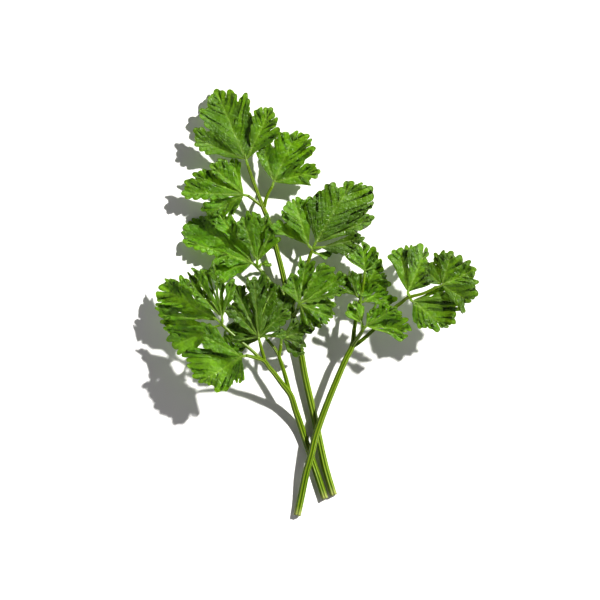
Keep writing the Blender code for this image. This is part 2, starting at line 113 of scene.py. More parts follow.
# Cross-section of a stalk: heights are shares of its radius, the top groove's width is in radians, and
# the steps along it, its lowest height and the length of its cut end are in millimetres
STALK_SIDES = 42
STALK_RIDGES = 7
RIDGE_HEIGHT = 0.085
GROOVE_DEPTH = 0.16
GROOVE_WIDTH = 0.32
STALK_STEP = 0.9
SHORT_STALK_STEP = 0.35
STALK_FLOOR = 0.02
CUT_RAGGED = 0.2
CUT_PALE = 3.5

# Each run of a stalk, as points (x, y, z, radius). The first run starts at the cut end.
STALKS = {
    "stalk_tall": [
        [(5.5, -63.8, 1.0, 1.15), (2.6, -54, 1.0, 1.15), (-0.5, -39.7, 1.25, 1.12),
         (-2.2, -32.2, 1.5, 1.08), (-4.1, -23.7, 1.8, 1.03), (-5.6, -15.2, 2.2, 1.0),
         (-8.7, -0.5, 3.2, 0.95), (-10.8, 7.2, 3.9, 0.9), (-11.9, 11.9, 4.3, 0.85), (-13.6, 18.3, 4.7, 0.8),
         (-16, 27, 5.2, 0.75), (-17.8, 31.6, 5.5, 0.72), (-19.9, 37, 5.8, 0.6), (-22.1, 43.1, 6.2, 0.5),
         (-23, 45.8, 6.4, 0.45)],
        [(-18, 32.2, 5.5, 0.6), (-19.9, 33.7, 5.7, 0.52), (-21.8, 35.1, 5.9, 0.48), (-23, 35.9, 6.0, 0.45)],
        [(-17.6, 32.1, 5.5, 0.6), (-16.8, 35.3, 5.8, 0.52), (-15.6, 37.8, 6.0, 0.48),
         (-14.8, 39, 6.1, 0.45)],
        [(-9.2, 0, 3.3, 0.75), (-11.5, 3.4, 3.9, 0.65), (-14.8, 6.2, 4.5, 0.6), (-18.1, 10.3, 5.1, 0.55),
         (-19.9, 12.1, 5.4, 0.5)],
        [(-8.4, -1.0, 3.2, 0.75), (-6.2, 4.6, 4.2, 0.65), (-3.8, 11.5, 5.3, 0.58), (-2.2, 16.2, 6.0, 0.55),
         (-1.4, 18.2, 6.3, 0.5)],
        [(-7.9, -4.0, 3.0, 0.7), (-7.3, -3.4, 5.0, 0.6), (-6.7, -2.4, 7.6, 0.55), (-6.2, -1.6, 9.0, 0.5)],
    ],
    "stalk_left": [
        [(2.6, -65, 0.95, 1.08), (0.3, -57.9, 0.95, 1.08), (-1.2, -53.5, 0.95, 1.05),
         (-4.4, -43.9, 1.3, 1.05), (-5.8, -39.5, 2.0, 1.03), (-7.2, -35.4, 3.4, 1.0),
         (-8.8, -30.5, 5.8, 0.95), (-11.8, -26.5, 8.2, 0.85), (-14, -23.5, 10.2, 0.78),
         (-16.1, -21, 12.2, 0.72), (-17.6, -19, 13.6, 0.68), (-20.4, -18, 15.3, 0.6),
         (-23.1, -17.3, 16.7, 0.52), (-23.6, -17.3, 16.9, 0.5)],
        [(-17.2, -19.4, 13.3, 0.6), (-19.3, -17.8, 14.1, 0.55), (-21.8, -15.4, 14.7, 0.52),
         (-24.4, -13.3, 15.2, 0.5), (-27.7, -10.5, 15.6, 0.48), (-30.3, -8.2, 15.9, 0.45),
         (-31.6, -7.0, 16.3, 0.42)],
        [(-17.3, -19.6, 13.3, 0.6), (-17.8, -17.3, 14.2, 0.55), (-18.6, -14.6, 15.0, 0.5),
         (-19, -12.8, 15.4, 0.48)],
        [(-8.9, -30.8, 5.6, 0.75), (-10.3, -25, 7.0, 0.68), (-11.6, -20.7, 8.0, 0.62),
         (-12.6, -17.5, 8.7, 0.58), (-12.2, -15.2, 9.0, 0.52), (-11.9, -13.2, 9.2, 0.46)],
        [(-12.6, -17.6, 8.7, 0.55), (-13.8, -15.4, 8.9, 0.5), (-15.4, -13.3, 9.1, 0.48),
         (-16.6, -12, 9.2, 0.45)],
    ],
    "stalk_right": [
        [(-6.6, -70.5, 1.0, 1.15), (-5.4, -65, 1.5, 1.15), (-3.6, -56.3, 3.0, 1.13), (-2, -50.6, 4.1, 1.1),
         (-0.3, -43.6, 4.8, 1.08), (2.9, -34.5, 5.4, 1.03), (6.5, -25.6, 6.0, 0.98),
         (9.6, -18.4, 6.5, 0.93), (11.8, -14, 6.8, 0.85), (12.3, -9.2, 7.0, 0.65), (12.9, -5.2, 7.2, 0.58),
         (13.7, -0.8, 7.5, 0.52), (14.7, 2.4, 7.8, 0.48), (15.4, 7, 8.2, 0.42), (15.7, 9.4, 8.4, 0.4)],
        [(11.7, -14.2, 6.8, 0.7), (14.1, -10.6, 10.4, 0.6), (15.2, -8.8, 12.4, 0.55)],
        [(11.6, -14.4, 6.7, 0.7), (14.4, -12.6, 7.7, 0.62), (18.8, -8.7, 9.6, 0.6),
         (22.7, -4.5, 11.5, 0.58), (24.8, -2.1, 12.5, 0.56), (28.4, 0.6, 14.7, 0.55), (30.2, 2, 16.2, 0.52),
         (35.3, 3.4, 17.0, 0.46), (38.9, 5.1, 17.5, 0.42), (40.2, 5.6, 17.6, 0.4)],
    ],
}

# base is the point where a blade meets its stalk, slope its rise for each mm along +X and +Y, droop how
# far its longest tip falls below that plane, and pleat how much of their usual folds its lobes have.
# The painted light tone is painted light and shade: how much paler (above 0) or darker than the rest
# a blade is coloured for the light or shade on it. gap is the degrees left open between its lobes.
# lobes are (bearing, length, lift of the tip). outline gives bearing and reach from the base by turns,
# for a notch, a tooth's tip, a notch and so on.
LEAVES = {
    "tall_top_leaf": {
        "base": (-23.5, 47.7, 7.0), "slope": (0.05, 0.0), "droop": 0.9, "pleat": 0.7,
        "lobes": [(-76, 15.2, 1.6), (-61, 19, 1.2), (-44, 21.6, -1.3), (-27, 25.4, -1.2), (-12, 24.2, 0),
            (1, 21.6, 0.5), (20, 19.6, 1.2), (37, 18.8, 1.6), (49, 15.2, 1.8)],
        "outline": [-82, 12.2, -67, 18.3, -64.5, 17.8, -59, 20, -51, 7.6, -41, 22.5, -34.5, 21.9, -31, 24.3,
            -29.5, 24, -23.5, 25.3, -16.5, 23.2, -12.5, 24, -8.5, 18.8, -0.5, 21.7, 4.5, 14.2, 6.5, 15.7,
            9, 7.8, 15, 18.1, 17.5, 17.8, 25.5, 19.3, 33.5, 16.6, 38, 17.4, 40, 13.9, 48, 14.9, 53.5, 9.6]},
    "tall_upper_right_leaf": {
        "base": (-14.4, 40.4, 6.2), "slope": (0.05, 0.0), "droop": -0.8, "pleat": 0.8,
        "lobes": [(-18, 13.2, -1.6), (11, 17.7, 0), (36, 19.6, 0.3), (67, 15.6, -0.2), (87, 14.6, -0.3)],
        "outline": [-33, 10.3, -30, 11.7, -26, 11, -18.5, 13.2, -17.5, 11.7, -16.5, 13.1, -13, 12.3,
            -7, 13.3, -1.5, 6.6, 14.5, 17.2, 19.5, 16.5, 24, 18.7, 26.5, 17.8, 36, 19.4, 40, 18.6, 42, 18.9,
            45, 16.8, 51, 17.7, 53, 5.5, 53.5, 12.3, 60.5, 11.6, 66, 14.6, 69, 14.1, 76.5, 15.5, 87.5, 11.1,
            95, 12.2, 96, 12.2]},
    "tall_upper_left_leaf": {
        "base": (-24.3, 36.1, 6.2), "slope": (-0.03, 0.02), "droop": 0.0, "pleat": 0.8, "painted_light_tone": 0.4,
        "lobes": [(-140, 8.6, 0), (-112, 13.8, 0.3), (-85, 20.6, -0.5), (-64, 17.6, 0.8), (-41, 14.8, 0),
            (-17, 12.2, -0.3)],
        "outline": [-153, 6.5, -151.5, 7.2, -150, 4.9, -143.5, 8.4, -140, 8, -136, 8.4, -128, 7, -124, 12.7,
            -121.5, 10.8, -118.5, 13.8, -116, 13.1, -109.5, 14.8, -97, 6.2, -87.5, 20.5, -80, 19.3,
            -77, 19.9, -72.5, 12.7, -67.5, 17.9, -60.5, 15.7, -57.5, 16.2, -55.5, 9.2, -48, 15, -38, 13.8,
            -34.5, 14.4, -27, 9.1, -18.5, 12.6, -17.5, 11.8, -12.5, 12.3, -7, 10.1]},
    "tall_left_leaf": {
        "base": (-21.4, 13.4, 5.6), "slope": (0.0, -0.02), "droop": 3.0, "pleat": 0.7, "painted_light_tone": 1.0,
        "lobes": [(-120, 8.2, 0), (-101, 14.4, 0.6), (-80, 21, 1.2), (-67, 25.4, -2.4), (-53, 25, -1.8),
            (-35, 21.6, -0.2), (-21, 17.8, -0.9)],
        "outline": [-128, 3.7, -109, 14.3, -107.5, 13.4, -102, 18.6, -97.5, 13.1, -96.5, 13.4, -93, 7,
            -88, 13, -87, 10.8, -86, 12.8, -78, 11.6, -71.5, 24.2, -68, 17.4, -66, 25.6, -64.5, 25.2,
            -61, 26, -55.5, 24.4, -53.5, 24.7, -50.5, 22.8, -48, 23.2, -44, 15.6, -43.5, 21.8, -41, 20.5,
            -34.5, 21.6, -27, 16.5, -24, 17.2, -22.5, 12.9, -15.5, 14.5, -15.5, 14.5]},
    "tall_middle_leaf": {
        "base": (-19.9, 13.9, 6.55), "slope": (0.0, 0.07), "droop": 0.0, "pleat": 0.7,
        "lobes": [(-32, 11.6, 0.5), (-14.5, 15.4, 0.2), (-1, 16.3, 0), (12, 14.8, 0.2), (26, 12.8, -0.9),
            (41, 11, -1.1)],
        "outline": [-40, 9.2, -34, 11.4, -32, 11.1, -18.5, 15.1, -13.5, 14.4, -10.5, 16.9, -6, 10.8,
            -5.5, 16.3, 6, 13.6, 12, 16.2, 19, 9, 19.5, 13.3, 21.5, 12.9, 25.5, 13.8, 34.5, 9.1, 42.5, 10.8,
            48, 8.8]},
    "tall_tiny_leaf": {
        "base": (-18.6, 13.0, 5.7), "slope": (0.0, 0.0), "droop": 0.0, "pleat": 0.2,
        "lobes": [(74, 3.9, 0)],
        "outline": [42, 2.2, 66, 2.7, 79.5, 1.9, 81, 3.7, 84.5, 3.4, 91.5, 3.7, 106, 2.8]},
    "tall_right_left_leaf": {
        "base": (-2.8, 19.3, 6.6), "slope": (-0.05, 0.05), "droop": 0.3, "pleat": 0.8, "painted_light_tone": 0.4,
        "lobes": [(-57, 13.2, 2.3), (-30, 15.8, 0.3), (-12, 16.8, 0.2), (1, 15.2, -0.5)],
        "outline": [-69.5, 10.4, -61.5, 13.7, -42.5, 7.9, -38, 14.5, -36, 14.1, -26, 15.8, -21.5, 15.5,
            -18, 16.4, -16, 15.3, -12, 16.3, -6, 15, 1, 16, 10, 13.4]},
    "tall_right_end_leaf": {
        "base": (-0.5, 20.1, 6.9), "slope": (-0.12, 0.05), "droop": 1.4, "pleat": 0.4, "painted_light_tone": -0.35,
        "lobes": [(4, 17, -0.3), (15.5, 21.2, 0.4), (29, 23.4, 0.2), (43.5, 26, 0), (55.5, 24, -0.6),
            (67.5, 21.2, -3.4)],
        "outline": [-14, 11.5, -8, 14.6, -3, 13.8, 4, 17.2, 6.5, 16.6, 17, 21, 22.5, 19.7, 31, 23.7,
            35, 22.5, 38, 25.1, 40, 24.6, 45.5, 26.1, 52.5, 23.2, 54.5, 23.7, 58.5, 19.3, 59.5, 20,
            60, 12.7, 66.5, 21.1, 73.5, 11.7, 75, 13, 75, 13]},
    "tall_right_lower_leaf": {
        "base": (0.6, 18.6, 7.5), "slope": (-0.03, 0.0), "droop": 0.4, "pleat": 0.5, "painted_light_tone": -1.0,
        "lobes": [(73, 14.6, 0), (86.5, 13.2, 0), (100, 9.6, 0)],
        "outline": [66.5, 12, 72, 14.3, 74, 13.7, 78, 15.1, 83.5, 12.7, 88, 13, 107, 4.4]},
    "tall_right_small_leaf": {
        "base": (-0.2, 16.7, 5.6), "slope": (0.0, 0.0), "droop": 0.3, "pleat": 0.3,
        "lobes": [(88, 4.8, 0), (116, 4.2, 0)],
        "outline": [74, 3.6, 77, 5.4, 102.5, 2.9, 103, 4, 129, 3.5]},
    "tall_centre_leaf": {
        "base": (-5.9, -0.2, 10.6), "slope": (0.0, 0.0), "droop": 0.4, "pleat": 0.9,
        "lobes": [(-38, 8.8, 0.4), (-14, 10.4, 0.2), (12.5, 13.6, -0.8), (37, 16.7, 0.8), (58, 18.2, 0.4),
            (73.5, 16.4, 0), (91, 10.6, -0.6), (115, 11.4, 0.2), (139, 9.9, 0), (165, 7.8, -0.5)],
        "outline": [-48, 8.3, -46.5, 9.9, -45, 8.1, -40.5, 8.6, -38, 8.4, -35.5, 8.6, -28.5, 7.1, -14, 10.4,
            -8.5, 9.4, -6.5, 9.9, 0, 7.3, 1.5, 15.8, 3, 12.2, 4.5, 14.2, 7.5, 13.8, 8.5, 14.2, 9.5, 13.2,
            18.5, 14.8, 24.5, 3.4, 31, 16, 32.5, 14.9, 44.5, 16.7, 49.5, 13.5, 57.5, 18.2, 59, 17.3,
            60, 17.6, 67, 11.5, 75, 16.2, 80, 2.6, 80.5, 9.4, 81, 8.3, 90, 12, 101, 7.4, 104.5, 12.3,
            106, 10.6, 112, 12.2, 116, 10.2, 119, 11.9, 121.5, 10.3, 125.5, 11.3, 129, 6.9, 129.5, 10.3,
            132, 9.8, 139, 10.2, 150, 5.5, 153, 9.5, 159, 6.2, 161.5, 7.6, 165, 7.2, 169, 7.6, 179, 5.9]},
    "left_far_leaf": {
        "base": (-32.8, -5.6, 16.9), "slope": (0.38, -0.1), "droop": 0.8, "pleat": 0.6, "painted_light_tone": 1.0,
        "lobes": [(-78, 20.6, 0), (-64, 22.8, 0.3), (-52.5, 22.6, 0.3), (-43, 21.4, 0.8)],
        "outline": [-90, 14, -85, 19.5, -82, 18.8, -78.5, 21, -77.5, 15.4, -76, 21.3, -73, 21, -67, 22.5,
            -63, 21.3, -59.5, 22.5, -53.5, 21.2, -51.5, 22.2, -50, 19.5, -49, 21, -47, 13.8, -40.5, 19.1,
            -37, 15, -32, 15.5, -29, 9]},
    "left_upper_leaf": {
        "base": (-31.4, -5.0, 17.6), "slope": (0.0, 0.04), "droop": -0.4, "pleat": 1.0, "gap": 1.0,
        "lobes": [(-39, 16.8, 0.6), (-27, 17.4, 0.6), (-14, 17.2, -0.2), (-1, 15, 0.6), (15.5, 13.4, 0)],
        "outline": [-56, 7, -50, 13, -46, 12, -42, 17.5, -40, 13.4, -36.5, 19, -35, 15.6, -34, 17.1,
            -33.5, 12.6, -31.5, 19.3, -27.5, 17.1, -23, 17.7, -20.5, 12.9, -20, 17.1, -15, 13.6, -9, 19.3,
            -7.5, 10.5, -5.5, 13.5, -4, 12.1, 0, 12.9, 5, 9.4, 15.5, 13.4, 25.5, 6.3]},
    "left_lower_leaf": {
        "base": (-33.5, -7.6, 16.0), "slope": (0.38, 0.06), "droop": 0.8, "pleat": 0.6, "painted_light_tone": 1.0,
        "lobes": [(-130, 15.4, 0.8), (-114, 16.5, 0), (-98.5, 17.1, 0), (-85.5, 18.2, -0.4)],
        "outline": [-138, 14, -132, 14.8, -129, 14.5, -125, 16, -121.5, 15.3, -115, 16.1, -109, 15.7,
            -104.5, 16.7, -99, 14.8, -92.5, 17.3, -91, 12, -85.5, 18.5, -80, 15, -76, 16.5, -72, 9]},
    "left_inner_leaf": {
        "base": (-30.6, -9.8, 14.4), "slope": (0.0, 0.12), "droop": 1.8, "pleat": 0.5, "painted_light_tone": 0.5,
        "lobes": [(150, 9, 0), (178, 7.2, 0)],
        "outline": [112, 5, 124, 7.6, 137, 5.6, 151.5, 10.4, 164, 5.6, 178, 8, 192, 6, 204, 8.4, 216, 5]},
    "left_bottom_leaf": {
        "base": (-24.9, -17.6, 17.2), "slope": (0.03, -0.02), "droop": 0.9, "pleat": 0.8, "painted_light_tone": 0.4,
        "lobes": [(-173, 9, 0.6), (-151, 14, 0.2), (-130, 15.6, 0.4), (-108.5, 17.4, 0),
            (-88.5, 18.4, -0.4), (-61, 14.6, 0.5)],
        "outline": [-185, 6.9, -176.5, 8.8, -173, 8.4, -169.5, 8.8, -162, 7.4, -160.5, 9.6, -156, 9.2,
            -154.5, 12.4, -151.5, 11.8, -143.5, 14.2, -135, 13.2, -130.5, 14.5, -127, 14, -122, 16.5,
            -116.5, 16.2, -111.5, 17.6, -108, 16.7, -101, 18.4, -96.5, 18, -93, 18.6, -90, 17.9, -88, 19.8,
            -79.5, 8, -69.5, 13.9, -67, 13.6, -61, 14.6, -55, 13.6, -50, 17.4, -44, 11.2]},
    "left_centre_leaf": {
        "base": (-19.3, -11.3, 16.1), "slope": (-0.08, 0.04), "droop": 0.6, "pleat": 0.9, "painted_light_tone": -0.5,
        "gap": 2.5,
        "lobes": [(-93, 9, 0.4), (-70, 11.4, 0.9), (-47, 14.8, -0.7), (-25, 18.4, -0.3), (-9, 20, 0.5),
            (4, 20, -0.3), (20, 17.2, 0.4), (48, 13.6, -0.4), (80, 9.4, 0)],
        "outline": [-104, 7, -96, 8.8, -93, 8.5, -90, 8.8, -81.5, 5.4, -73, 11.2, -67.5, 10.1, -66, 11.2,
            -58, 6.3, -52.5, 14.6, -48.5, 13.5, -41.5, 15.6, -36, 8.1, -31, 17.2, -30, 16.3, -25.5, 19.1,
            -16.5, 16.4, -15.5, 18.9, -15, 12.9, -13, 20.2, -10, 18.9, -4.5, 19.9, 0.5, 18.5, 3.5, 22,
            9.5, 17.8, 10.5, 19, 11, 12, 11.5, 19.2, 29.5, 8.2, 44.5, 13.5, 48, 13, 51.5, 13.5, 66, 5.6,
            66.5, 8, 67, 7.4, 76, 9.2, 80, 8.7, 84, 9.2, 93.5, 7.1]},
    "left_middle_leaf": {
        "base": (-17.3, -10.6, 9.2), "slope": (0.0, 0.0), "droop": 1.2, "pleat": 0.5, "painted_light_tone": -0.9,
        "lobes": [(-114, 10.4, -0.4), (-89, 11.6, -0.4), (-10, 12, 0), (25, 15.6, -0.4)],
        "outline": [-125, 8, -117, 10.2, -114, 9.8, -111, 10.2, -102.5, 7.3, -89, 11.6, -77.5, 9.9,
            -76, 12.2, -62, 9, -44, 15, -30, 10.6, -14, 15, -8, 13.6, 0, 15.2, 9, 10, 14, 16.7, 23, 14.4,
            30, 15.6, 44, 12.3]},
    "left_shaded_leaf": {
        "base": (-11.6, -11.4, 10.0), "slope": (-0.02, 0.0), "droop": 2.0, "pleat": 0.5, "painted_light_tone": -1.0,
        "lobes": [(39, 8, 0), (66, 10.6, 0), (87.5, 10.6, 0), (106.5, 8.6, -0.4), (138, 5.4, -0.6)],
        "outline": [26, 6.1, 35, 7.8, 39, 7.5, 43, 7.8, 52, 6.1, 66, 10.6, 70.5, 10, 73.5, 11.1, 83.5, 6.6,
            94.5, 7.4, 95, 6, 107.5, 8.1, 113, 7.2, 117.5, 7.6, 119, 3.9, 124.5, 8.5, 157, 3.3]},
    "right_top_leaf": {
        "base": (15.9, 10.7, 8.9), "slope": (0.0, 0.0), "droop": 0.3, "pleat": 0.6,
        "lobes": [(-42, 6.8, 0), (-15, 8.9, 0.3), (8, 9.7, 0), (27, 8.6, 0.3), (53, 7.2, -0.3)],
        "outline": [-54, 8.2, -50, 8.3, -32, 7.1, -19, 8.7, -15, 8.3, -11, 8.7, -5, 8, -3.5, 9.9, 12.5, 7.6,
            22.5, 8.5, 31.5, 6.8, 37, 7.2, 47, 4, 53.5, 6.5, 69, 5.8]},
    "right_inner_left_leaf": {
        "base": (13.4, 2.4, 8.6), "slope": (0.0, 0.02), "droop": -0.6, "pleat": 0.5, "painted_light_tone": -0.4,
        "lobes": [(-62, 5, -0.3), (-39, 7, 0), (-14, 8.8, 0.4), (7, 8, -0.4)],
        "outline": [-72, 3.9, -59.5, 4.9, -52.5, 4, -43, 6.9, -39, 6.5, -30.5, 8.5, -26.5, 5.5, -17.5, 8.6,
            -14, 8.3, -10.5, 8.6, -1.5, 6.4, 9, 7.9, 15.5, 6.3]},
    "right_inner_right_leaf": {
        "base": (15.3, 0.6, 8.6), "slope": (0.02, 0.0), "droop": -0.8, "pleat": 0.5, "painted_light_tone": 1.0,
        "lobes": [(15, 7, 1.2), (38, 7.8, 0.3), (64, 8.8, 0), (87, 9.8, -0.3)],
        "outline": [6, 5.5, 12.5, 6.9, 25, 4.2, 34.5, 7.6, 38, 7.3, 41.5, 7.6, 50.5, 5.5, 60, 8.6, 64, 8.2,
            68, 8.6, 76.5, 6.9, 85.5, 11, 95.5, 4.5, 97, 7.8, 97, 7.8]},
    "right_inner_shaded_leaf": {
        "base": (16.6, 6.6, 6.9), "slope": (-0.02, 0.0), "droop": 0.6, "pleat": 0.4,
        "lobes": [(38, 7.4, 0), (63, 7, 0), (89, 7.8, 0), (112, 7, 0)],
        "outline": [-4, 4.6, 6, 7.6, 16, 6.4, 33, 8.1, 54, 6.3, 59.5, 6.9, 63, 6.6, 66.5, 6.9, 75.5, 5.3,
            89, 7.8, 102, 5.6, 114.5, 6.9, 122, 5.5]},
    "right_inner_lower_leaf": {
        "base": (14.9, -6.6, 12.2), "slope": (0.03, 0.0), "droop": 0.4, "pleat": 0.5, "painted_light_tone": 0.7,
        "lobes": [(-56, 6.4, 0), (-36, 7.7, 0), (-18, 7.8, 0), (0, 6.2, 0)],
        "outline": [-66, 5, -53.5, 6.5, -46.5, 5.2, -33.5, 7.6, -26.5, 6.1, -19, 7.9, -16, 7.5, -14, 7.8,
            -9, 4.9, 2.5, 6.1, 9, 4.9]},
    "right_low_leaf": {
        "base": (16.2, -7.6, 14.0), "slope": (0.25, 0.04), "droop": 0.6, "pleat": 0.8, "painted_light_tone": 0.6,
        "lobes": [(17, 7, 0.4), (38.5, 9.4, 0), (60, 12, 0.3), (81, 14, 0), (103, 13.8, -1.4)],
        "outline": [6, 4.8, 7, 4.9, 17.5, 4.4, 25, 8, 28, 4.9, 48.5, 10.3, 49, 6.6, 57, 11.8, 60, 11.4,
            69, 12.6, 71, 9, 71.5, 12.4, 75, 11.5, 79, 14, 85, 13.6, 94, 15.1, 95.5, 12.8, 98, 13.2,
            100, 6.5, 104, 13.8, 114, 11]},
    "right_end_left_leaf": {
        "base": (30.1, 3.6, 17.1), "slope": (0.03, -0.36), "droop": 1.6, "pleat": 0.9, "painted_light_tone": -0.3,
        "lobes": [(-25, 10.6, -0.3), (-14, 14.2, 0), (-3, 16, 0.3), (9, 16.6, 0), (21, 16.6, -0.2),
            (32, 15.4, 0), (42, 12.4, 0), (57, 8.4, 0.4)],
        "outline": [-30.5, 12.6, -10, 14.8, -3, 13.9, 0, 15.8, 2, 11.2, 3.5, 15.5, 6.5, 14.8, 14, 16.5,
            21, 15.7, 23.5, 16.2, 31, 12, 41, 13, 50, 9, 59.5, 9.8, 68, 6.6]},
    "right_end_tip_leaf": {
        "base": (41.4, 6.1, 18.3), "slope": (0.03, 0.0), "droop": 0.6, "pleat": 0.7, "painted_light_tone": -0.5,
        "lobes": [(-34, 7.6, -0.6), (-12, 9.8, -0.3), (1, 11.4, 0), (14, 12, 0.3), (28, 12.4, 0),
            (44, 13.2, 0.3), (61.5, 13.6, 0), (79.5, 13.2, -0.3), (99.5, 12.9, 0.2), (120.5, 11.7, 0),
            (138, 12.2, 0.3)],
        "outline": [-80, 3.8, -68, 6.2, -58, 5.2, -47, 7.8, -38, 6.4, -31.5, 8.4, -23.5, 6.2, -22, 7.9,
            -18, 7.4, -10.5, 10.8, -4.5, 8.5, 2, 11.3, 6, 10.4, 16.5, 11.3, 26, 9.9, 33.5, 11.2, 44, 8.1,
            49, 12.2, 55, 11, 64.5, 12.3, 69.5, 10.8, 71, 11.6, 79, 9.9, 84.5, 12.2, 92, 9.8, 103, 12,
            116, 9.9, 121, 10.5, 129.5, 9.4, 144.5, 11.6, 144.5, 11.6]},
    "right_end_lower_leaf": {
        "base": (31.4, 0.9, 15.9), "slope": (-0.03, 0.0), "droop": 0.9, "pleat": 0.7,
        "lobes": [(67, 10.2, 0), (83, 16.2, -0.5), (98, 15.4, 0), (113, 16.4, 0.3), (127, 15.4, 0),
            (139, 13.7, 0.2), (151, 10.8, 0), (166, 7, 0)],
        "outline": [59, 8.1, 71, 12.6, 75, 8.1, 81.5, 15.9, 83, 15.7, 84.5, 15.9, 90.5, 12.4, 93, 17.3,
            94.5, 14.9, 96.5, 15.2, 98, 14.9, 101, 16.8, 102.5, 14.7, 116.5, 15.9, 124, 14, 127.5, 14.5,
            133, 12.5, 141, 13.2, 147, 9.3, 153, 9.7, 174.5, 5.7]},
}

# Small curled leaflets among a blade's lobes. root is the point that carries one, and fold how far its
# sides rise.
SPROUTS = {
    "left_centre_leaf": [
        {"base": (-16.9, 0.2, 16.0), "root": (-18.7, -4.6, 15.4), "slope": (0.1, 0.1), "droop": 0.5,
         "fold": 5.5,
         "lobes": [(20, 4.0, 0.4)],
         "outline": [-25, 1.2, 0, 3.4, 14, 2.4, 32, 4.4, 50, 2.6, 68, 3.4, 92, 1.4]},
        {"base": (-19.0, -0.4, 15.9), "root": (-18.9, -5.2, 15.4), "slope": (-0.1, 0.1), "droop": 0.6,
         "fold": 5.0,
         "lobes": [(-5, 4.0, 0.4)],
         "outline": [-70, 1.1, -46, 3.2, -26, 2.2, -6, 4.4, 12, 2.6, 30, 3.2, 56, 1.1]},
    ],
    "left_upper_leaf": [
        {"base": (-34.8, 0.6, 17.9), "root": (-32.6, -2.6, 17.2), "slope": (-0.1, 0.1), "droop": 0.8,
         "fold": 6.0,
         "lobes": [(-50, 6.0, 0.6)],
         "outline": [-98, 1.6, -80, 4.6, -66, 3.4, -50, 6.4, -36, 4.2, -20, 5.0, 4, 1.6]},
    ],
    "right_inner_right_leaf": [
        {"base": (14.6, 2.2, 9.6), "root": (14.6, -1.4, 8.4), "slope": (0.2, 0.1), "droop": 0.6, "fold": 5.5,
         "lobes": [(14, 6.0, 0.6)],
         "outline": [-30, 1.4, -12, 4.2, 2, 3.0, 16, 6.4, 34, 3.8, 52, 4.4, 76, 1.4]},
    ],
}

# Camera and light
FRAME_WIDTH = 0.2
CAMERA_HEIGHT = 3.0
SENSOR = 36.0
VIEW_CENTRE = (-0.0062, 0.00087)
FLOOR_SIZE = 3.0
SUN_BEARING = 52.0
SUN_ELEVATION = 41.0
SUN_STRENGTH = 4.75
SUN_WIDTH = 2.5
SUN_COLOUR = (1.0, 0.98, 0.95)
WALL_COLOUR = (1.0, 0.965, 1.0, 1)
GAMMA = 0.82
EXPOSURE = 0.5


def smoothstep(value):
    """0 below 0, 1 above 1 and an S-shaped rise between them, for a number or an array."""
    value = np.clip(value, 0.0, 1.0)
    return value * value * (3 - 2 * value)


def smooth_run(points, step):
    """Points every step or so along a Catmull-Rom curve through the run's own points, with their radii."""
    ends = [points[0], *points, points[-1]]
    made = []
    for a, b, c, d in zip(ends, ends[1:], ends[2:], ends[3:]):
        pieces = max(1, round(math.dist(b[:3], c[:3]) / step))
        for k in range(pieces):
            t = k / pieces
            made.append([
                0.5 * (2 * q + (r - p) * t + (2 * p - 5 * q + 4 * r - s) * t**2
                       + (3 * q - p - 3 * r + s) * t**3)
                for p, q, r, s in zip(a, b, c, d)
            ])
    made.append(list(points[-1]))
    return made


def in_metres(point):
    return Vector((point[0] + BUNCH_SHIFT[0], point[1] + BUNCH_SHIFT[1], point[2])) * MM


def new_object(name, mesh, material):
    mesh.materials.append(material)
    made = bpy.data.objects.new(name, mesh)
    bpy.context.scene.collection.objects.link(made)
    return made


def stand_in_for(piece, node):
    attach(piece, "root")
    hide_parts(node)


class MeshData:
    """Vertices with their attributes, and faces, gathered before one mesh is made of them."""

    def __init__(self):
        self.places = []
        self.faces = []
        self.values = {"vein": [], "margin": [], "under": [], "painted_light_and_tint": [], "grain": []}

    def add(self, place, vein, margin, grain=(0.0, 0.0, 0.0)):
        """Adds a point of a stalk, and returns its number."""
        self.places.append(tuple(place))
        values = {"vein": vein, "margin": margin, "under": 0.0, "painted_light_and_tint": 0.0, "grain": grain}
        for key, value in values.items():
            self.values[key].append(value)
        return len(self.places) - 1

    def add_grid(self, places, vein, margin, under, grain, painted_light_and_tint):
        """Adds every point of a blade's grid of rings, and returns the number of the first."""
        first = len(self.places)
        count = vein.size
        self.places += [tuple(place) for place in places.reshape(-1, 3).tolist()]
        self.values["vein"] += vein.ravel().tolist()
        self.values["margin"] += margin.ravel().tolist()
        self.values["under"] += [under] * count
        self.values["painted_light_and_tint"] += [painted_light_and_tint] * count
        self.values["grain"] += grain.reshape(-1, 3).tolist()
        return first

    def mesh(self, name):
        mesh = bpy.data.meshes.new(name)
        mesh.from_pydata(self.places, [], self.faces)
        for key in ("vein", "margin", "under", "painted_light_and_tint"):
            made = mesh.attributes.new(key, "FLOAT", "POINT")
            made.data.foreach_set("value", self.values[key])
        grain = mesh.attributes.new("grain", "FLOAT_VECTOR", "POINT")
        grain.data.foreach_set("vector", [v for triple in self.values["grain"] for v in triple])
        mesh.shade_smooth()
        mesh.update()
        return mesh


def stalk_frames(points):
    """The middle of each point of a run, and two unit vectors across it, the second nearest upright."""
    places = [Vector(p[:3]) for p in points]
    for k, place in enumerate(places):
        along = (places[min(k + 1, len(places) - 1)] - places[max(k - 1, 0)]).normalized()
        side = along.cross(Vector((0, 0, 1))).normalized()
        yield place, side, side.cross(along).normalized()


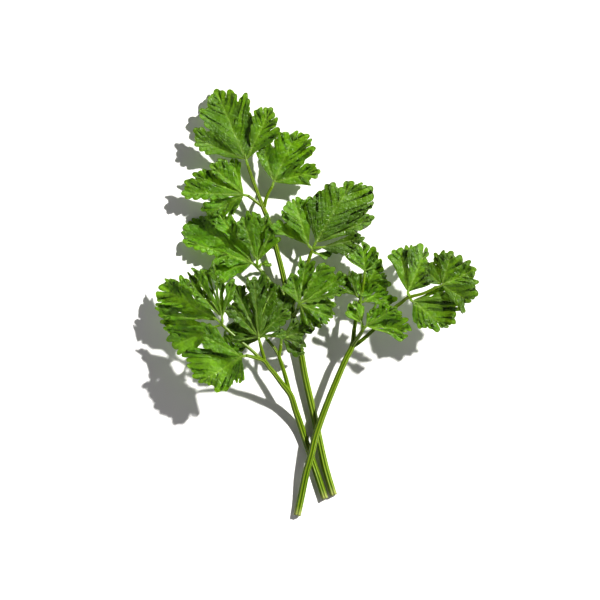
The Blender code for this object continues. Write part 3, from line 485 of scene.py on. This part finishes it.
def add_tube(data, points, seed, cut_end):
    """One grooved run of a stalk. A cut end is ragged, and its other end is closed to a point."""
    draw = random.Random(seed)
    phase = draw.uniform(0, ROUND)
    ragged = [draw.uniform(-1, 1) for _ in range(STALK_SIDES)]
    rings = []
    travelled = 0.0
    before = None
    for number, (point, (middle, side, up)) in enumerate(zip(points, stalk_frames(points))):
        if before is not None:
            travelled += (middle - before).length
        before = middle
        along = side.cross(up)
        ring = []
        for k in range(STALK_SIDES):
            angle = 2 * math.pi * k / STALK_SIDES
            ridge = math.cos(STALK_RIDGES * angle + phase) * RIDGE_HEIGHT
            groove = -GROOVE_DEPTH * math.exp(-((angle - math.pi / 2) / GROOVE_WIDTH) ** 2)
            radius = point[3] * (1 + ridge + groove)
            place = middle + side * (math.cos(angle) * radius) + up * (math.sin(angle) * radius)
            if cut_end and number == 0:
                place -= along * (ragged[k] * CUT_RAGGED)
            place.z = max(place.z, STALK_FLOOR)
            # Ridge mask, 1 on the ridge tops and 0 in the grooves: the stalk material paints highlight and
            # shade by it
            vein = 0.5 + 0.5 * math.cos(STALK_RIDGES * angle + phase)
            pale = smoothstep(1 - travelled / CUT_PALE) if cut_end else 0.0
            grain = (angle * point[3], travelled, seed * 3.7)
            ring.append(data.add(in_metres(place), vein, pale, grain))
        rings.append(ring)
    for a, b in zip(rings, rings[1:]):
        for k in range(STALK_SIDES):
            n = (k + 1) % STALK_SIDES
            data.faces.append((a[k], a[n], b[n], b[k]))
    for ring, point, end in ((rings[0], points[0], 0), (rings[-1], points[-1], 1)):
        middle = sum((Vector(data.places[v]) for v in ring), Vector()) / STALK_SIDES
        centre = data.add(middle, 0.0, 1.0 if cut_end and end == 0 else 0.0)
        for k in range(STALK_SIDES):
            n = (k + 1) % STALK_SIDES
            data.faces.append((ring[k], centre, ring[n]) if end == 0 else (ring[n], centre, ring[k]))


def make_stalk(name, runs, material):
    data = MeshData()
    for number, run in enumerate(runs):
        add_tube(data, smooth_run(run, STALK_STEP), len(name) * 7 + number, number == 0)
    piece = new_object(f"{name}_grooved", data.mesh(name), material)
    stand_in_for(piece, name)


def waves(x, y, length, seed, count=7):
    """Smooth seeded noise of about unit height, made of waves in several directions."""
    draw = random.Random(seed)
    total = np.zeros_like(x)
    for _ in range(count):
        angle, phase = draw.uniform(0, ROUND), draw.uniform(0, ROUND)
        turn = ROUND / (length * draw.uniform(0.7, 1.5))
        total += np.sin(turn * (x * math.cos(angle) + y * math.sin(angle)) + phase)
    return total / math.sqrt(count)


def split_fingers(corners):
    """Splits an outline at its deep notches: each finger is (first tooth, number after its last)."""
    notches, tips = corners[0::2], corners[1::2]
    fingers, first = [], 0
    for number in range(1, len(tips)):
        if notches[number][1] < DEEP_NOTCH * min(tips[number - 1][1], tips[number][1]):
            fingers.append((first, number))
            first = number
    fingers.append((first, len(tips)))
    return fingers


def polar(bearing, out):
    angle = math.radians(bearing)
    return np.array((out * math.sin(angle), out * math.cos(angle)))


def arc_points(notches, tips):
    """The rounded outline through notches and tips, and which of its points are notches."""
    points, marks = [polar(*notches[0])], [0]
    for k, (bearing, reach) in enumerate(tips):
        for side, notch in ((-1, notches[k]), (1, notches[k + 1])):
            for step in range(1, ARC_STEPS + 1):
                turn = math.pi / 2 * (step / ARC_STEPS if side < 0 else 1 - step / ARC_STEPS)
                swell = 1 - math.cos(turn) ** ARC_POWER
                out = notch[1] + (reach - notch[1]) * swell
                points.append(polar(bearing + (notch[0] - bearing) * math.cos(turn), out))
        marks.append(len(points) - 1)
    return np.array(points), marks


def toothed(points, marks, draw):
    """Parts the outline into round teeth.

    Each is (edge points, their places across the tooth, lobule, their places across the lobule).
    """
    steps = np.linalg.norm(np.diff(points, axis=0), axis=1)
    reached = np.concatenate([[0], np.cumsum(steps)])
    teeth = []
    for lobule, (low, high) in enumerate(zip(marks, marks[1:])):
        span = reached[high] - reached[low]
        tip = reached[(low + high) // 2]
        half = min(0.5 * TOOTH_WIDTH * draw.uniform(0.9, 1.2), 0.5 * (tip - reached[low]) + 0.3,
                   0.5 * (reached[high] - tip) + 0.3)
        bounds = []
        for start, end in ((reached[low], tip - half), (tip + half, reached[high])):
            parts = round((end - start) / TOOTH_WIDTH)
            if parts:
                bounds += [start + (end - start) * k / parts for k in range(parts + 1)]
            else:
                bounds.append(max(start, end) if bounds else min(start, end))
        for first, last in zip(bounds, bounds[1:]):
            places = np.sin(np.linspace(-math.pi / 2, math.pi / 2, 2 * TOOTH_STEPS + 1))
            at = (first + last) / 2 + places * (last - first) / 2
            edge = np.stack([np.interp(at, reached, points[:, axis]) for axis in (0, 1)], -1)
            near = np.stack([np.interp([first, last], reached, points[:, axis]) for axis in (0, 1)], -1)
            chord = near[1] - near[0]
            outward = np.array((-chord[1], chord[0])) / max(1e-6, math.hypot(*chord))
            depth = 0.0
            if len(bounds) > 2:
                depth = min(SCALLOP_LIMIT, SCALLOP * (last - first)) * draw.uniform(0.8, 1.2)
            edge = edge + outward * (depth * (0.35 - np.abs(places) ** TOOTH_POWER))[:, None]
            within = 2 * (at - reached[low]) / span - 1
            teeth.append((edge, places, lobule, within))
    return teeth


def side_points(corner, turn, inner):
    """Points along a finger's side up to its corner, and the share of the way to each.

    turn is 1 for the side before the finger, and -1 for the side after it.
    """
    outward = turn * np.array((-corner[1], corner[0])) / max(1e-6, math.hypot(*corner))
    bulge = (SIDE_BULGE if inner else OUTER_BULGE) * min(1.0, math.hypot(*corner) / BULGE_LENGTH)
    for step in range(1, SIDE_STEPS):
        share = step / SIDE_STEPS
        yield corner * share + outward * bulge * math.sin(math.pi * share**1.2), share


def finger_columns(corners, first, last, overlap, draw):
    """Columns of one finger of a blade, from its rib to its edge, and the rib's bearing and length.

    Each column is (edge point, distance along the rib of its start, tooth, place across the tooth,
    lobule, place across the lobule).
    """
    notches = [list(notch) for notch in corners[0::2][first:last + 1]]
    tips = corners[1::2][first:last]
    for notch, before, after in zip(notches[1:-1], tips, tips[1:]):
        width = math.radians(after[0] - before[0]) * min(before[1], after[1])
        shown = min(before[1], after[1]) - notch[1]
        notch[1] -= min(NOTCH_DEEPER, NOTCH_LIMIT * width) * min(1.0, shown / 0.6 + 0.3)
    inner_before, inner_after = first > 0, 2 * last + 1 < len(corners)
    if inner_before:
        notches[0][0] -= overlap
    if inner_after:
        notches[-1][0] += overlap
    low, high = notches[0][0], notches[-1][0]
    middle, half = (low + high) / 2, max(1.0, (high - low) / 2)
    rib, length = max(tips, key=lambda tip: tip[1] * (1 - 0.35 * abs(tip[0] - middle) / half))
    rib_way = polar(rib, 1.0)
    points, marks = arc_points(notches, tips)
    teeth = toothed(points, marks, draw)
    starts = []
    for edge, _, _, _ in teeth:
        tip = edge[TOOTH_STEPS]
        aside = abs(tip[0] * rib_way[1] - tip[1] * rib_way[0])
        along = tip @ rib_way - aside / math.tan(math.radians(VEIN_SPREAD))
        starts.append(min(max(along, 0.03 * length), 0.8 * length))
    main = max(range(len(teeth)), key=lambda k: teeth[k][0][TOOTH_STEPS] @ rib_way)
    for k in range(1, main + 1):
        starts[k] = max(starts[k], starts[k - 1])
    for k in range(len(teeth) - 2, main - 1, -1):
        starts[k] = max(starts[k], starts[k + 1])
    middles = [(a + b) / 2 for a, b in zip(starts, starts[1:])]
    between = [0.6 * starts[0], *middles, 0.6 * starts[-1]]
    columns = []
    for point, share in side_points(teeth[0][0][0], 1, inner_before):
        columns.append((point, between[0] * share, 0, -1.0, 0, -1.0))
    for k, (edge, places, lobule, within) in enumerate(teeth):
        own = edge[:-1] if k + 1 < len(teeth) else edge
        for point, place, inside in zip(own, places, within):
            start = starts[k] + (between[k if place < 0 else k + 1] - starts[k]) * abs(place)
            columns.append((point, start, k, place, lobule, inside))
    for point, share in reversed(list(side_points(teeth[-1][0][-1], -1, inner_after))):
        columns.append((point, between[-1] * share, len(teeth) - 1, 1.0, len(tips) - 1, 1.0))
    return columns, rib, length


def tooth_gaps(x, y, tooth, place):
    """How far each point is from its tooth's middle column, and how far the notch on its side is.

    Also returns the middle column of each tooth.
    """
    tips_of = {}
    for column in range(len(place)):
        if abs(place[column]) < 1e-6:
            tips_of[tooth[column]] = column
    centre = np.array([tips_of[k] for k in tooth])
    gap = np.hypot(x - x[:, centre], y - y[:, centre])
    notch_gap = np.zeros_like(gap)
    for k in tips_of:
        mine = np.where(tooth == k)[0]
        for side in (-1, 1):
            part = mine[(place[mine] * side) > 0]
            if len(part):
                notch_gap[:, part] = gap[:, part].max(1, keepdims=True)
    return gap, notch_gap, tips_of


def vein_lines(s, r, rib_gap, rib_width, gap, notch_gap):
    """Strength of the rib and the side veins at each point, and of the grooves over them, from 0 to 1."""
    rib = 0.95 * np.exp(-((rib_gap / rib_width) ** 2))
    side = 0.8 * (1 - 0.5 * s) * np.exp(-((gap / SIDE_VEIN_WIDTH) ** 2)) * smoothstep(notch_gap / 0.5)
    rib_groove = np.exp(-((rib_gap / RIB_GROOVE) ** 2)) * smoothstep(r / 1.5)
    side_groove = 0.6 * np.exp(-((gap / SIDE_GROOVE) ** 2)) * smoothstep(notch_gap / 0.6)
    return np.maximum(rib, side), np.maximum(rib_groove, side_groove)


def add_blade_faces(data, top, under, rings, count):
    """Faces of a finger's upper and under sheet, of the rim between them and of its two sides."""
    for sheet, upward in ((top, True), (under, False)):
        for j in range(rings):
            row = sheet + j * count
            for k in range(count - 1):
                face = (row + k, row + k + 1, row + count + k + 1, row + count + k)
                data.faces.append(face if upward else face[::-1])
    rim_top, rim_low = top + rings * count, under + rings * count
    for k in range(count - 1):
        data.faces.append((rim_top + k, rim_low + k, rim_low + k + 1, rim_top + k + 1))
    for end, turned_round in ((0, False), (count - 1, True)):
        for j in range(rings):
            a, b = top + j * count + end, top + (j + 1) * count + end
            c, d = under + (j + 1) * count + end, under + j * count + end
            face = (a, d, c, b)
            data.faces.append(face[::-1] if turned_round else face)


def add_blade(data, form, overlap, painted_light_tone, seed):
    """One blade: its fingers each have a rib of their own, and overlap or stand apart at their sides."""
    draw = random.Random(seed)
    base = form["base"]
    corners = list(zip(form["outline"][::2], form["outline"][1::2]))
    longest = max(corner[1] for corner in corners)
    # Painted light and shade of the blade from its painted light tone, moved a little by a seeded random
    # tint
    painted_light_and_tint = painted_light_tone + draw.uniform(-1, 1) * TINT_SPREAD
    bearings = [lobe[0] for lobe in form["lobes"]]
    lifts = [lobe[2] for lobe in form["lobes"]]
    folded = form.get("fold", FOLD)
    pleat = form.get("pleat", 1.0)
    fingers = split_fingers(corners)
    under_neighbour = draw.random() < 0.5
    for index, (first, last) in enumerate(fingers):
        columns, rib, length = finger_columns(corners, first, last, overlap, draw)
        edge, start, tooth, place, lobule, within = (np.array(values) for values in zip(*columns))
        count = len(columns)
        rings = max(FEWEST_RINGS, round(RINGS * (length / RINGS_LENGTH) ** 0.5))
        share = (np.arange(rings + 1) / rings) ** RING_POWER
        s = np.repeat(share[:, None], count, 1)
        rib_way = polar(rib, 1.0)
        roots = start[:, None] * rib_way
        width = np.linalg.norm(edge - roots, axis=1)
        bow = np.clip(width * 0.06, 0, 0.8)
        flat = roots[None] + s[..., None] * (edge - roots)[None]
        flat += (bow * 4)[None, :, None] * (s * (1 - s))[..., None] * -rib_way[None, None, :] * 0.5
        x, y = flat[..., 0], flat[..., 1]
        r = np.hypot(x, y)
        way = SWAY * smoothstep(r / 5.0)
        x, y = (x + way * waves(x, y, SWAY_LENGTH, seed + 50),
                y + way * waves(x, y, SWAY_LENGTH, seed + 90))
        aside = x * rib_way[1] - y * rib_way[0]
        along = x * rib_way[0] + y * rib_way[1]

        # Relief: the blade's plane and droop, folds of its fingers and lobules, curls of its teeth, waves
        z = form["slope"][0] * x + form["slope"][1] * y - form["droop"] * (r / longest) ** 2
        bearing = np.degrees(np.arctan2(x, y))
        middle = (corners[0][0] + corners[-1][0]) / 2
        bearing = (bearing - middle + 180) % 360 - 180 + middle
        z += np.interp(bearing, bearings, lifts) * smoothstep((r / longest - 0.5) / 0.4)
        opened = smoothstep(along / (0.45 * length))
        spread = max(2.0, np.abs(aside).max())
        left, right = draw.uniform(0.35, 1.0) * folded, draw.uniform(0.35, 1.0) * folded
        reach = np.abs(aside) / spread
        fold = np.where(aside < 0, left, right) * min(1.0, spread / 6) * reach ** 1.15
        z += fold * (0.25 + 0.75 * opened) - 0.5 * (left + right) / 2 * opened
        if len(fingers) > 1:
            lower = (index % 2 == 0) == under_neighbour
            z += (-SHINGLE if lower else SHINGLE) * smoothstep(r / (0.4 * longest))
        gap, notch_gap, tips_of = tooth_gaps(x, y, tooth, place)
        room = np.minimum(1.0, notch_gap / 1.6)
        across = np.divide(gap, np.maximum(notch_gap, 1e-6))
        quilt = QUILT * room * (np.clip(across, 0, 1) ** 1.3 - 0.45) * smoothstep((s - 0.5) / 0.45)
        swells = {k: draw.uniform(0.5, 1.4) for k in tips_of}
        z += quilt * np.array([swells[k] for k in tooth])
        toothed_part = slice(SIDE_STEPS - 1, count - SIDE_STEPS + 1)
        widths = {}
        for k in range(last - first):
            mine = edge[toothed_part][lobule[toothed_part] == k]
            widths[k] = math.dist(mine[0], mine[-1])
        sizes = {k: draw.uniform(0.5, 1.3) * min(1.0, widths[k] / 5) ** 1.5 * pleat for k in widths}
        if last - first > 1:
            lobule_fold = -LOBULE_FOLD * smoothstep((s - 0.42) / 0.5) * (np.abs(within) ** 4 - 0.25)
            z += lobule_fold * np.array([sizes[k] for k in lobule])
            lean = draw.choice((-1, 1))
            leans = {k: (lean if draw.random() < 0.75 else -lean) * sizes[k] for k in widths}
            leaning = LOBULE_LEAN * np.array([leans[k] for k in lobule])
            z += leaning * within * smoothstep((s - 0.45) / 0.5)
        curls = {k: draw.uniform(-1.0, 0.75) * TOOTH_CURL for k in tips_of}
        curl = np.array([curls[k] for k in tooth])
        z += curl * (1 - place**2) * smoothstep((s - 0.6) / 0.4)
        z -= ROLL * smoothstep((s - 0.82) / 0.2)
        spot_x, spot_y = base[0] + x, base[1] + y
        z += WAVE * waves(spot_x, spot_y, WAVE_LENGTH, 5) * smoothstep(r / 6.0)
        z += CRUMPLE * waves(spot_x, spot_y, CRUMPLE_LENGTH, 6, 11) * smoothstep(r / 2.5)

        # The grooves over the veins, and the two sheets with their attributes
        rib_gap = np.hypot(aside, np.maximum(0, along - 0.93 * length))
        rib_width = RIB_WIDTH * (1 - 0.68 * np.clip(along / length, 0, 1))
        vein, groove = vein_lines(s, r, rib_gap, rib_width, gap, notch_gap)
        z -= VALLEY * groove
        z = np.maximum(z, FLOOR_GAP + BLADE_THICKNESS / 2 - base[2])
        thick = BLADE_THICKNESS + (RIM_THICKNESS - BLADE_THICKNESS) * s**4
        margin = np.clip(1 - (1 - s) * width / MARGIN_WIDTH, 0, 1)
        rim_steps = np.linalg.norm(np.diff(edge, axis=0), axis=1)
        rim_length = np.broadcast_to(np.concatenate([[0], np.cumsum(rim_steps)]), s.shape)
        grain = np.stack([rim_length, s * width, np.full(s.shape, seed * 3.1 + index)], -1)
        sheets = []
        for side in (1, -1):
            rise = z + side * thick / 2 - (UNDER_RIB * vein if side < 0 else 0)
            places = np.stack([spot_x + BUNCH_SHIFT[0], spot_y + BUNCH_SHIFT[1], base[2] + rise], -1) * MM
            sheets.append(data.add_grid(places, vein, margin, float(side < 0), grain, painted_light_and_tint))
        add_blade_faces(data, *sheets, rings, count)


def make_leaf(name, form, material, seed):
    data = MeshData()
    painted_light_tone = form.get("painted_light_tone", 0.0)
    add_blade(data, form, -form["gap"] if "gap" in form else OVERLAP, painted_light_tone, seed)
    add_petiole(data, form, seed)
    for number, sprout in enumerate(SPROUTS.get(name, []), 1):
        add_blade(data, sprout, OVERLAP, painted_light_tone, seed + 100 * number)
        add_short_stalk(data, [(*sprout["root"], 0.3), (*sprout["base"], 0.2)], seed + 100 * number)
    piece = new_object(f"{name}_blade", data.mesh(name), material)
    stand_in_for(piece, name)


def nearest_on_stalks(place):
    points = (point for runs in STALKS.values() for run in runs for point in smooth_run(run, STALK_STEP))
    return min(points, key=lambda point: math.dist(point[:3], place))


def add_short_stalk(data, points, seed):
    """A thin stalk that belongs to a blade, in the colour of its veins."""
    first = len(data.places)
    add_tube(data, smooth_run(points, SHORT_STALK_STEP), seed, False)
    for number in range(first, len(data.places)):
        data.values["vein"][number] = 1.0


def add_petiole(data, form, seed):
    """The short stalk that carries a blade, from the nearest run to a little way up the blade's middle."""
    base = form["base"]
    start = nearest_on_stalks(base)
    lengths = [lobe[1] for lobe in form["lobes"]]
    angle = math.radians(sum(lobe[0] * lobe[1] for lobe in form["lobes"]) / sum(lengths))
    reach = min(2.2, 0.2 * max(lengths))
    far = (base[0] + reach * math.sin(angle), base[1] + reach * math.cos(angle), base[2] - 0.15)
    thick = min(0.5, start[3])
    points = [(*start[:3], thick * 0.9), (base[0], base[1], base[2] - 0.12, thick * 0.85), (*far, 0.22)]
    add_short_stalk(data, points, seed)


class Tree:
    """Short ways to build the nodes of a material or a world."""

    def __init__(self, owner):
        owner.use_nodes = True
        self.owner = owner
        self.nodes = owner.node_tree.nodes
        self.links = owner.node_tree.links
        self.shader = self.nodes.get("Principled BSDF")

    def set(self, node, inputs):
        """Gives each of a node's inputs a value, or links it to another node's output."""
        for key, value in inputs.items():
            if isinstance(value, bpy.types.NodeSocket):
                self.links.new(value, node.inputs[key])
            else:
                node.inputs[key].default_value = value

    def node(self, kind, inputs, output=0, **settings):
        """Makes a node, sets its inputs and returns one of its outputs."""
        made = self.nodes.new(kind)
        for key, value in settings.items():
            setattr(made, key, value)
        self.set(made, inputs)
        return made.outputs[output]

    def attribute(self, name, output="Fac"):
        return self.node("ShaderNodeAttribute", {}, output, attribute_name=name)

    def math(self, operation, a, b):
        return self.node("ShaderNodeMath", {0: a, 1: b}, operation=operation)

    def noise(self, scale, detail, vector, rough=0.55):
        inputs = {"Scale": scale, "Detail": detail, "Roughness": rough, "Vector": vector}
        return self.node("ShaderNodeTexNoise", inputs, "Fac")

    def net(self, scale, vector, width):
        """1 on the lines of an irregular net, falling to 0 at width, a share of one of its cells."""
        inputs = {"Scale": scale, "Vector": vector}
        gap = self.node("ShaderNodeTexVoronoi", inputs, "Distance", feature="DISTANCE_TO_EDGE")
        return self.ramp(gap, 0.0, width, 1.0, 0.0)

    def ramp(self, value, low, high, start=0.0, end=1.0):
        inputs = {"Value": value, "From Min": low, "From Max": high, "To Min": start, "To Max": end}
        return self.node("ShaderNodeMapRange", inputs)

    def mix(self, share, a, b, blend="MIX"):
        return self.node("ShaderNodeMix", {0: share, 6: a, 7: b}, 2, data_type="RGBA", blend_type=blend)

    def stretched(self, vector, scale):
        return self.node("ShaderNodeVectorMath", {0: vector, 1: scale}, operation="MULTIPLY")

    def bump(self, height, distance, strength):
        inputs = {"Strength": strength, "Distance": distance, "Height": height}
        return self.node("ShaderNodeBump", inputs, "Normal")

    def object_place(self):
        return self.node("ShaderNodeTexCoord", {}, "Object")


def leaf_material():
    """Green blade: paler veins, darker rim, mottling, painted sheen patches, streaks along the veins,
    painted light and shade per blade, light through it.
    """
    t = Tree(bpy.data.materials.new("parsley_leaf"))
    place = t.object_place()
    grain = t.attribute("grain", "Vector")
    vein = t.attribute("vein")
    margin = t.attribute("margin")
    under = t.attribute("under")
    mottle = t.noise(560, 4, place, 0.65)
    painted_sheen_patch = t.noise(90, 2, place)
    streak = t.noise(1.0, 4, t.stretched(grain, (2.2, 0.2, 1.0)), 0.6)
    net = t.net(620, place, 0.22)
    # Painted light and shade: each blade's painted light tone, with its seeded tint, as a colour scale
    painted_light_tone = t.ramp(t.attribute("painted_light_and_tint"), -1.0, 1.0, 0.68, 1.32)
    colour = t.mix(t.ramp(mottle, 0.38, 0.62), (0.018, 0.085, 0.001, 1), (0.088, 0.24, 0.002, 1))
    for share, towards in (
        # Greyer green patches laid out by noise, standing for the silvery sheen: painted sheen
        (t.ramp(painted_sheen_patch, 0.4, 0.62, 0.0, 0.6), (0.13, 0.26, 0.025, 1)),
        (t.ramp(streak, 0.45, 0.62, 0.0, 0.5), (0.2, 0.35, 0.012, 1)),
        (0.15, (0.15, 0.33, 0.004, 1)),
        (t.math("MULTIPLY", net, 0.18), (0.22, 0.4, 0.02, 1)),
        (t.math("MULTIPLY", vein, 0.52), (0.42, 0.56, 0.12, 1)),
        (t.math("MULTIPLY", margin, 0.6), (0.06, 0.075, 0.003, 1)),
        (t.math("MULTIPLY", under, 0.5), (0.24, 0.38, 0.07, 1)),
    ):
        colour = t.mix(share, colour, towards)
    # Painted light and shade: the blade's colour made paler or darker by its painted light tone
    colour = t.mix(1.0, colour, painted_light_tone, "MULTIPLY")
    relief = t.math("SUBTRACT", t.math("MULTIPLY", streak, 0.8), t.math("MULTIPLY", net, 0.35))
    t.set(t.shader, {
        "Base Color": colour,
        "Roughness": t.ramp(mottle, 0.3, 0.7, 0.3, 0.44),
        "Specular IOR Level": 0.62,
        "Normal": t.bump(relief, 0.0005, 0.8),
    })
    glow = t.mix(0.85, colour, (0.68, 0.89, 0.125, 1))
    # The painted light tone also scales the colour of the light through the blade
    glow = t.mix(1.0, glow, t.math("MINIMUM", painted_light_tone, 1.1), "MULTIPLY")
    through = t.node("ShaderNodeBsdfTranslucent", {"Color": glow})
    share = t.ramp(mottle, 0.36, 0.64, 0.37, 0.62)
    mixed = t.node("ShaderNodeMixShader", {0: share, 1: t.shader.outputs[0], 2: through})
    t.set(t.nodes["Material Output"], {"Surface": mixed})
    return t.owner


def stalk_material():
    """Yellow-green stalk: pale ridges and darker grooves (own colour plus painted highlight and painted
    shade), fine lengthwise streaks and whitish cut ends.
    """
    t = Tree(bpy.data.materials.new("parsley_stalk"))
    grain = t.attribute("grain", "Vector")
    ridge = t.attribute("vein")
    pale = t.attribute("margin")
    streak = t.noise(1.0, 4, t.stretched(grain, (1.9, 0.05, 1.0)), 0.6)
    mottle = t.noise(180, 3, t.object_place())
    # Ridges paler and grooves darker: partly the stalk's own ribbed colour, partly painted highlight and
    # painted shade
    ridges_and_painted_light = t.math("ADD", t.math("MULTIPLY", ridge, 0.55), t.math("MULTIPLY", streak, 0.9))
    colour = t.mix(t.ramp(ridges_and_painted_light, 0.4, 0.95), (0.034, 0.1, 0.001, 1), (0.18, 0.265, 0.005, 1))
    for share, towards in (
        # Painted highlight along the ridge tops
        (t.ramp(ridges_and_painted_light, 0.85, 1.1, 0.0, 0.6), (0.26, 0.32, 0.045, 1)),
        (t.ramp(mottle, 0.45, 0.7, 0.0, 0.25), (0.05, 0.11, 0.003, 1)),
        (t.math("MULTIPLY", pale, 0.5), (0.4, 0.4, 0.16, 1)),
    ):
        colour = t.mix(share, colour, towards)
    t.set(t.shader, {
        "Base Color": colour,
        "Roughness": t.ramp(mottle, 0.3, 0.7, 0.28, 0.4),
        "Specular IOR Level": 0.32,
        "Subsurface Weight": 0.15,
        "Subsurface Radius": (0.6, 1.0, 0.3),
        "Subsurface Scale": 0.0008,
        "Normal": t.bump(streak, 0.0002, 0.6),
    })
    return t.owner


def floor_material():
    t = Tree(bpy.data.materials.new("pale_floor"))
    t.set(t.shader, {"Base Color": (0.86, 0.86, 0.86, 1), "Roughness": 0.9, "Specular IOR Level": 0.1})
    return t.owner


def make_floor():
    mesh = bpy.data.meshes.new("floor")
    built = bmesh.new()
    bmesh.ops.create_grid(built, x_segments=1, y_segments=1, size=FLOOR_SIZE)
    built.to_mesh(mesh)
    built.free()
    floor = new_object("floor", mesh, floor_material())


def make_lights():
    world = bpy.data.worlds.new("studio")
    bpy.context.scene.world = world
    t = Tree(world)
    way = t.node("ShaderNodeTexCoord", {}, "Generated")
    height = t.node("ShaderNodeSeparateXYZ", {0: way}, "Z")
    t.set(t.nodes["Background"], {0: WALL_COLOUR, 1: t.ramp(height, 0.75, 0.15, 0.02, 1.0)})
    sun = bpy.data.lights.new("key", "SUN")
    sun.energy = SUN_STRENGTH
    sun.angle = math.radians(SUN_WIDTH)
    sun.color = SUN_COLOUR
    lamp = bpy.data.objects.new("key", sun)
    bearing, rise = math.radians(SUN_BEARING), math.radians(SUN_ELEVATION)
    level = math.cos(rise)
    towards = Vector((math.sin(bearing) * level, math.cos(bearing) * level, math.sin(rise)))
    lamp.rotation_euler = towards.to_track_quat("Z", "Y").to_euler()
    bpy.context.scene.collection.objects.link(lamp)


def make_camera():
    camera = bpy.data.cameras.new("camera")
    camera.sensor_width = SENSOR
    camera.lens = SENSOR * CAMERA_HEIGHT / FRAME_WIDTH
    camera.clip_end = 20.0
    made = bpy.data.objects.new("camera", camera)
    made.location = (*VIEW_CENTRE, CAMERA_HEIGHT)
    bpy.context.scene.collection.objects.link(made)
    bpy.context.scene.camera = made


def main():
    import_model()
    stalk_green = stalk_material()
    leaf_green = leaf_material()
    for name, runs in STALKS.items():
        make_stalk(name, runs, stalk_green)
    for seed, (name, form) in enumerate(LEAVES.items(), 1):
        make_leaf(name, form, leaf_green, seed)
    make_floor()
    make_lights()
    make_camera()
    shown = bpy.context.scene.view_settings
    shown.view_transform = "Standard"
    shown.gamma = GAMMA
    shown.exposure = EXPOSURE
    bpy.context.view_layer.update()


main()
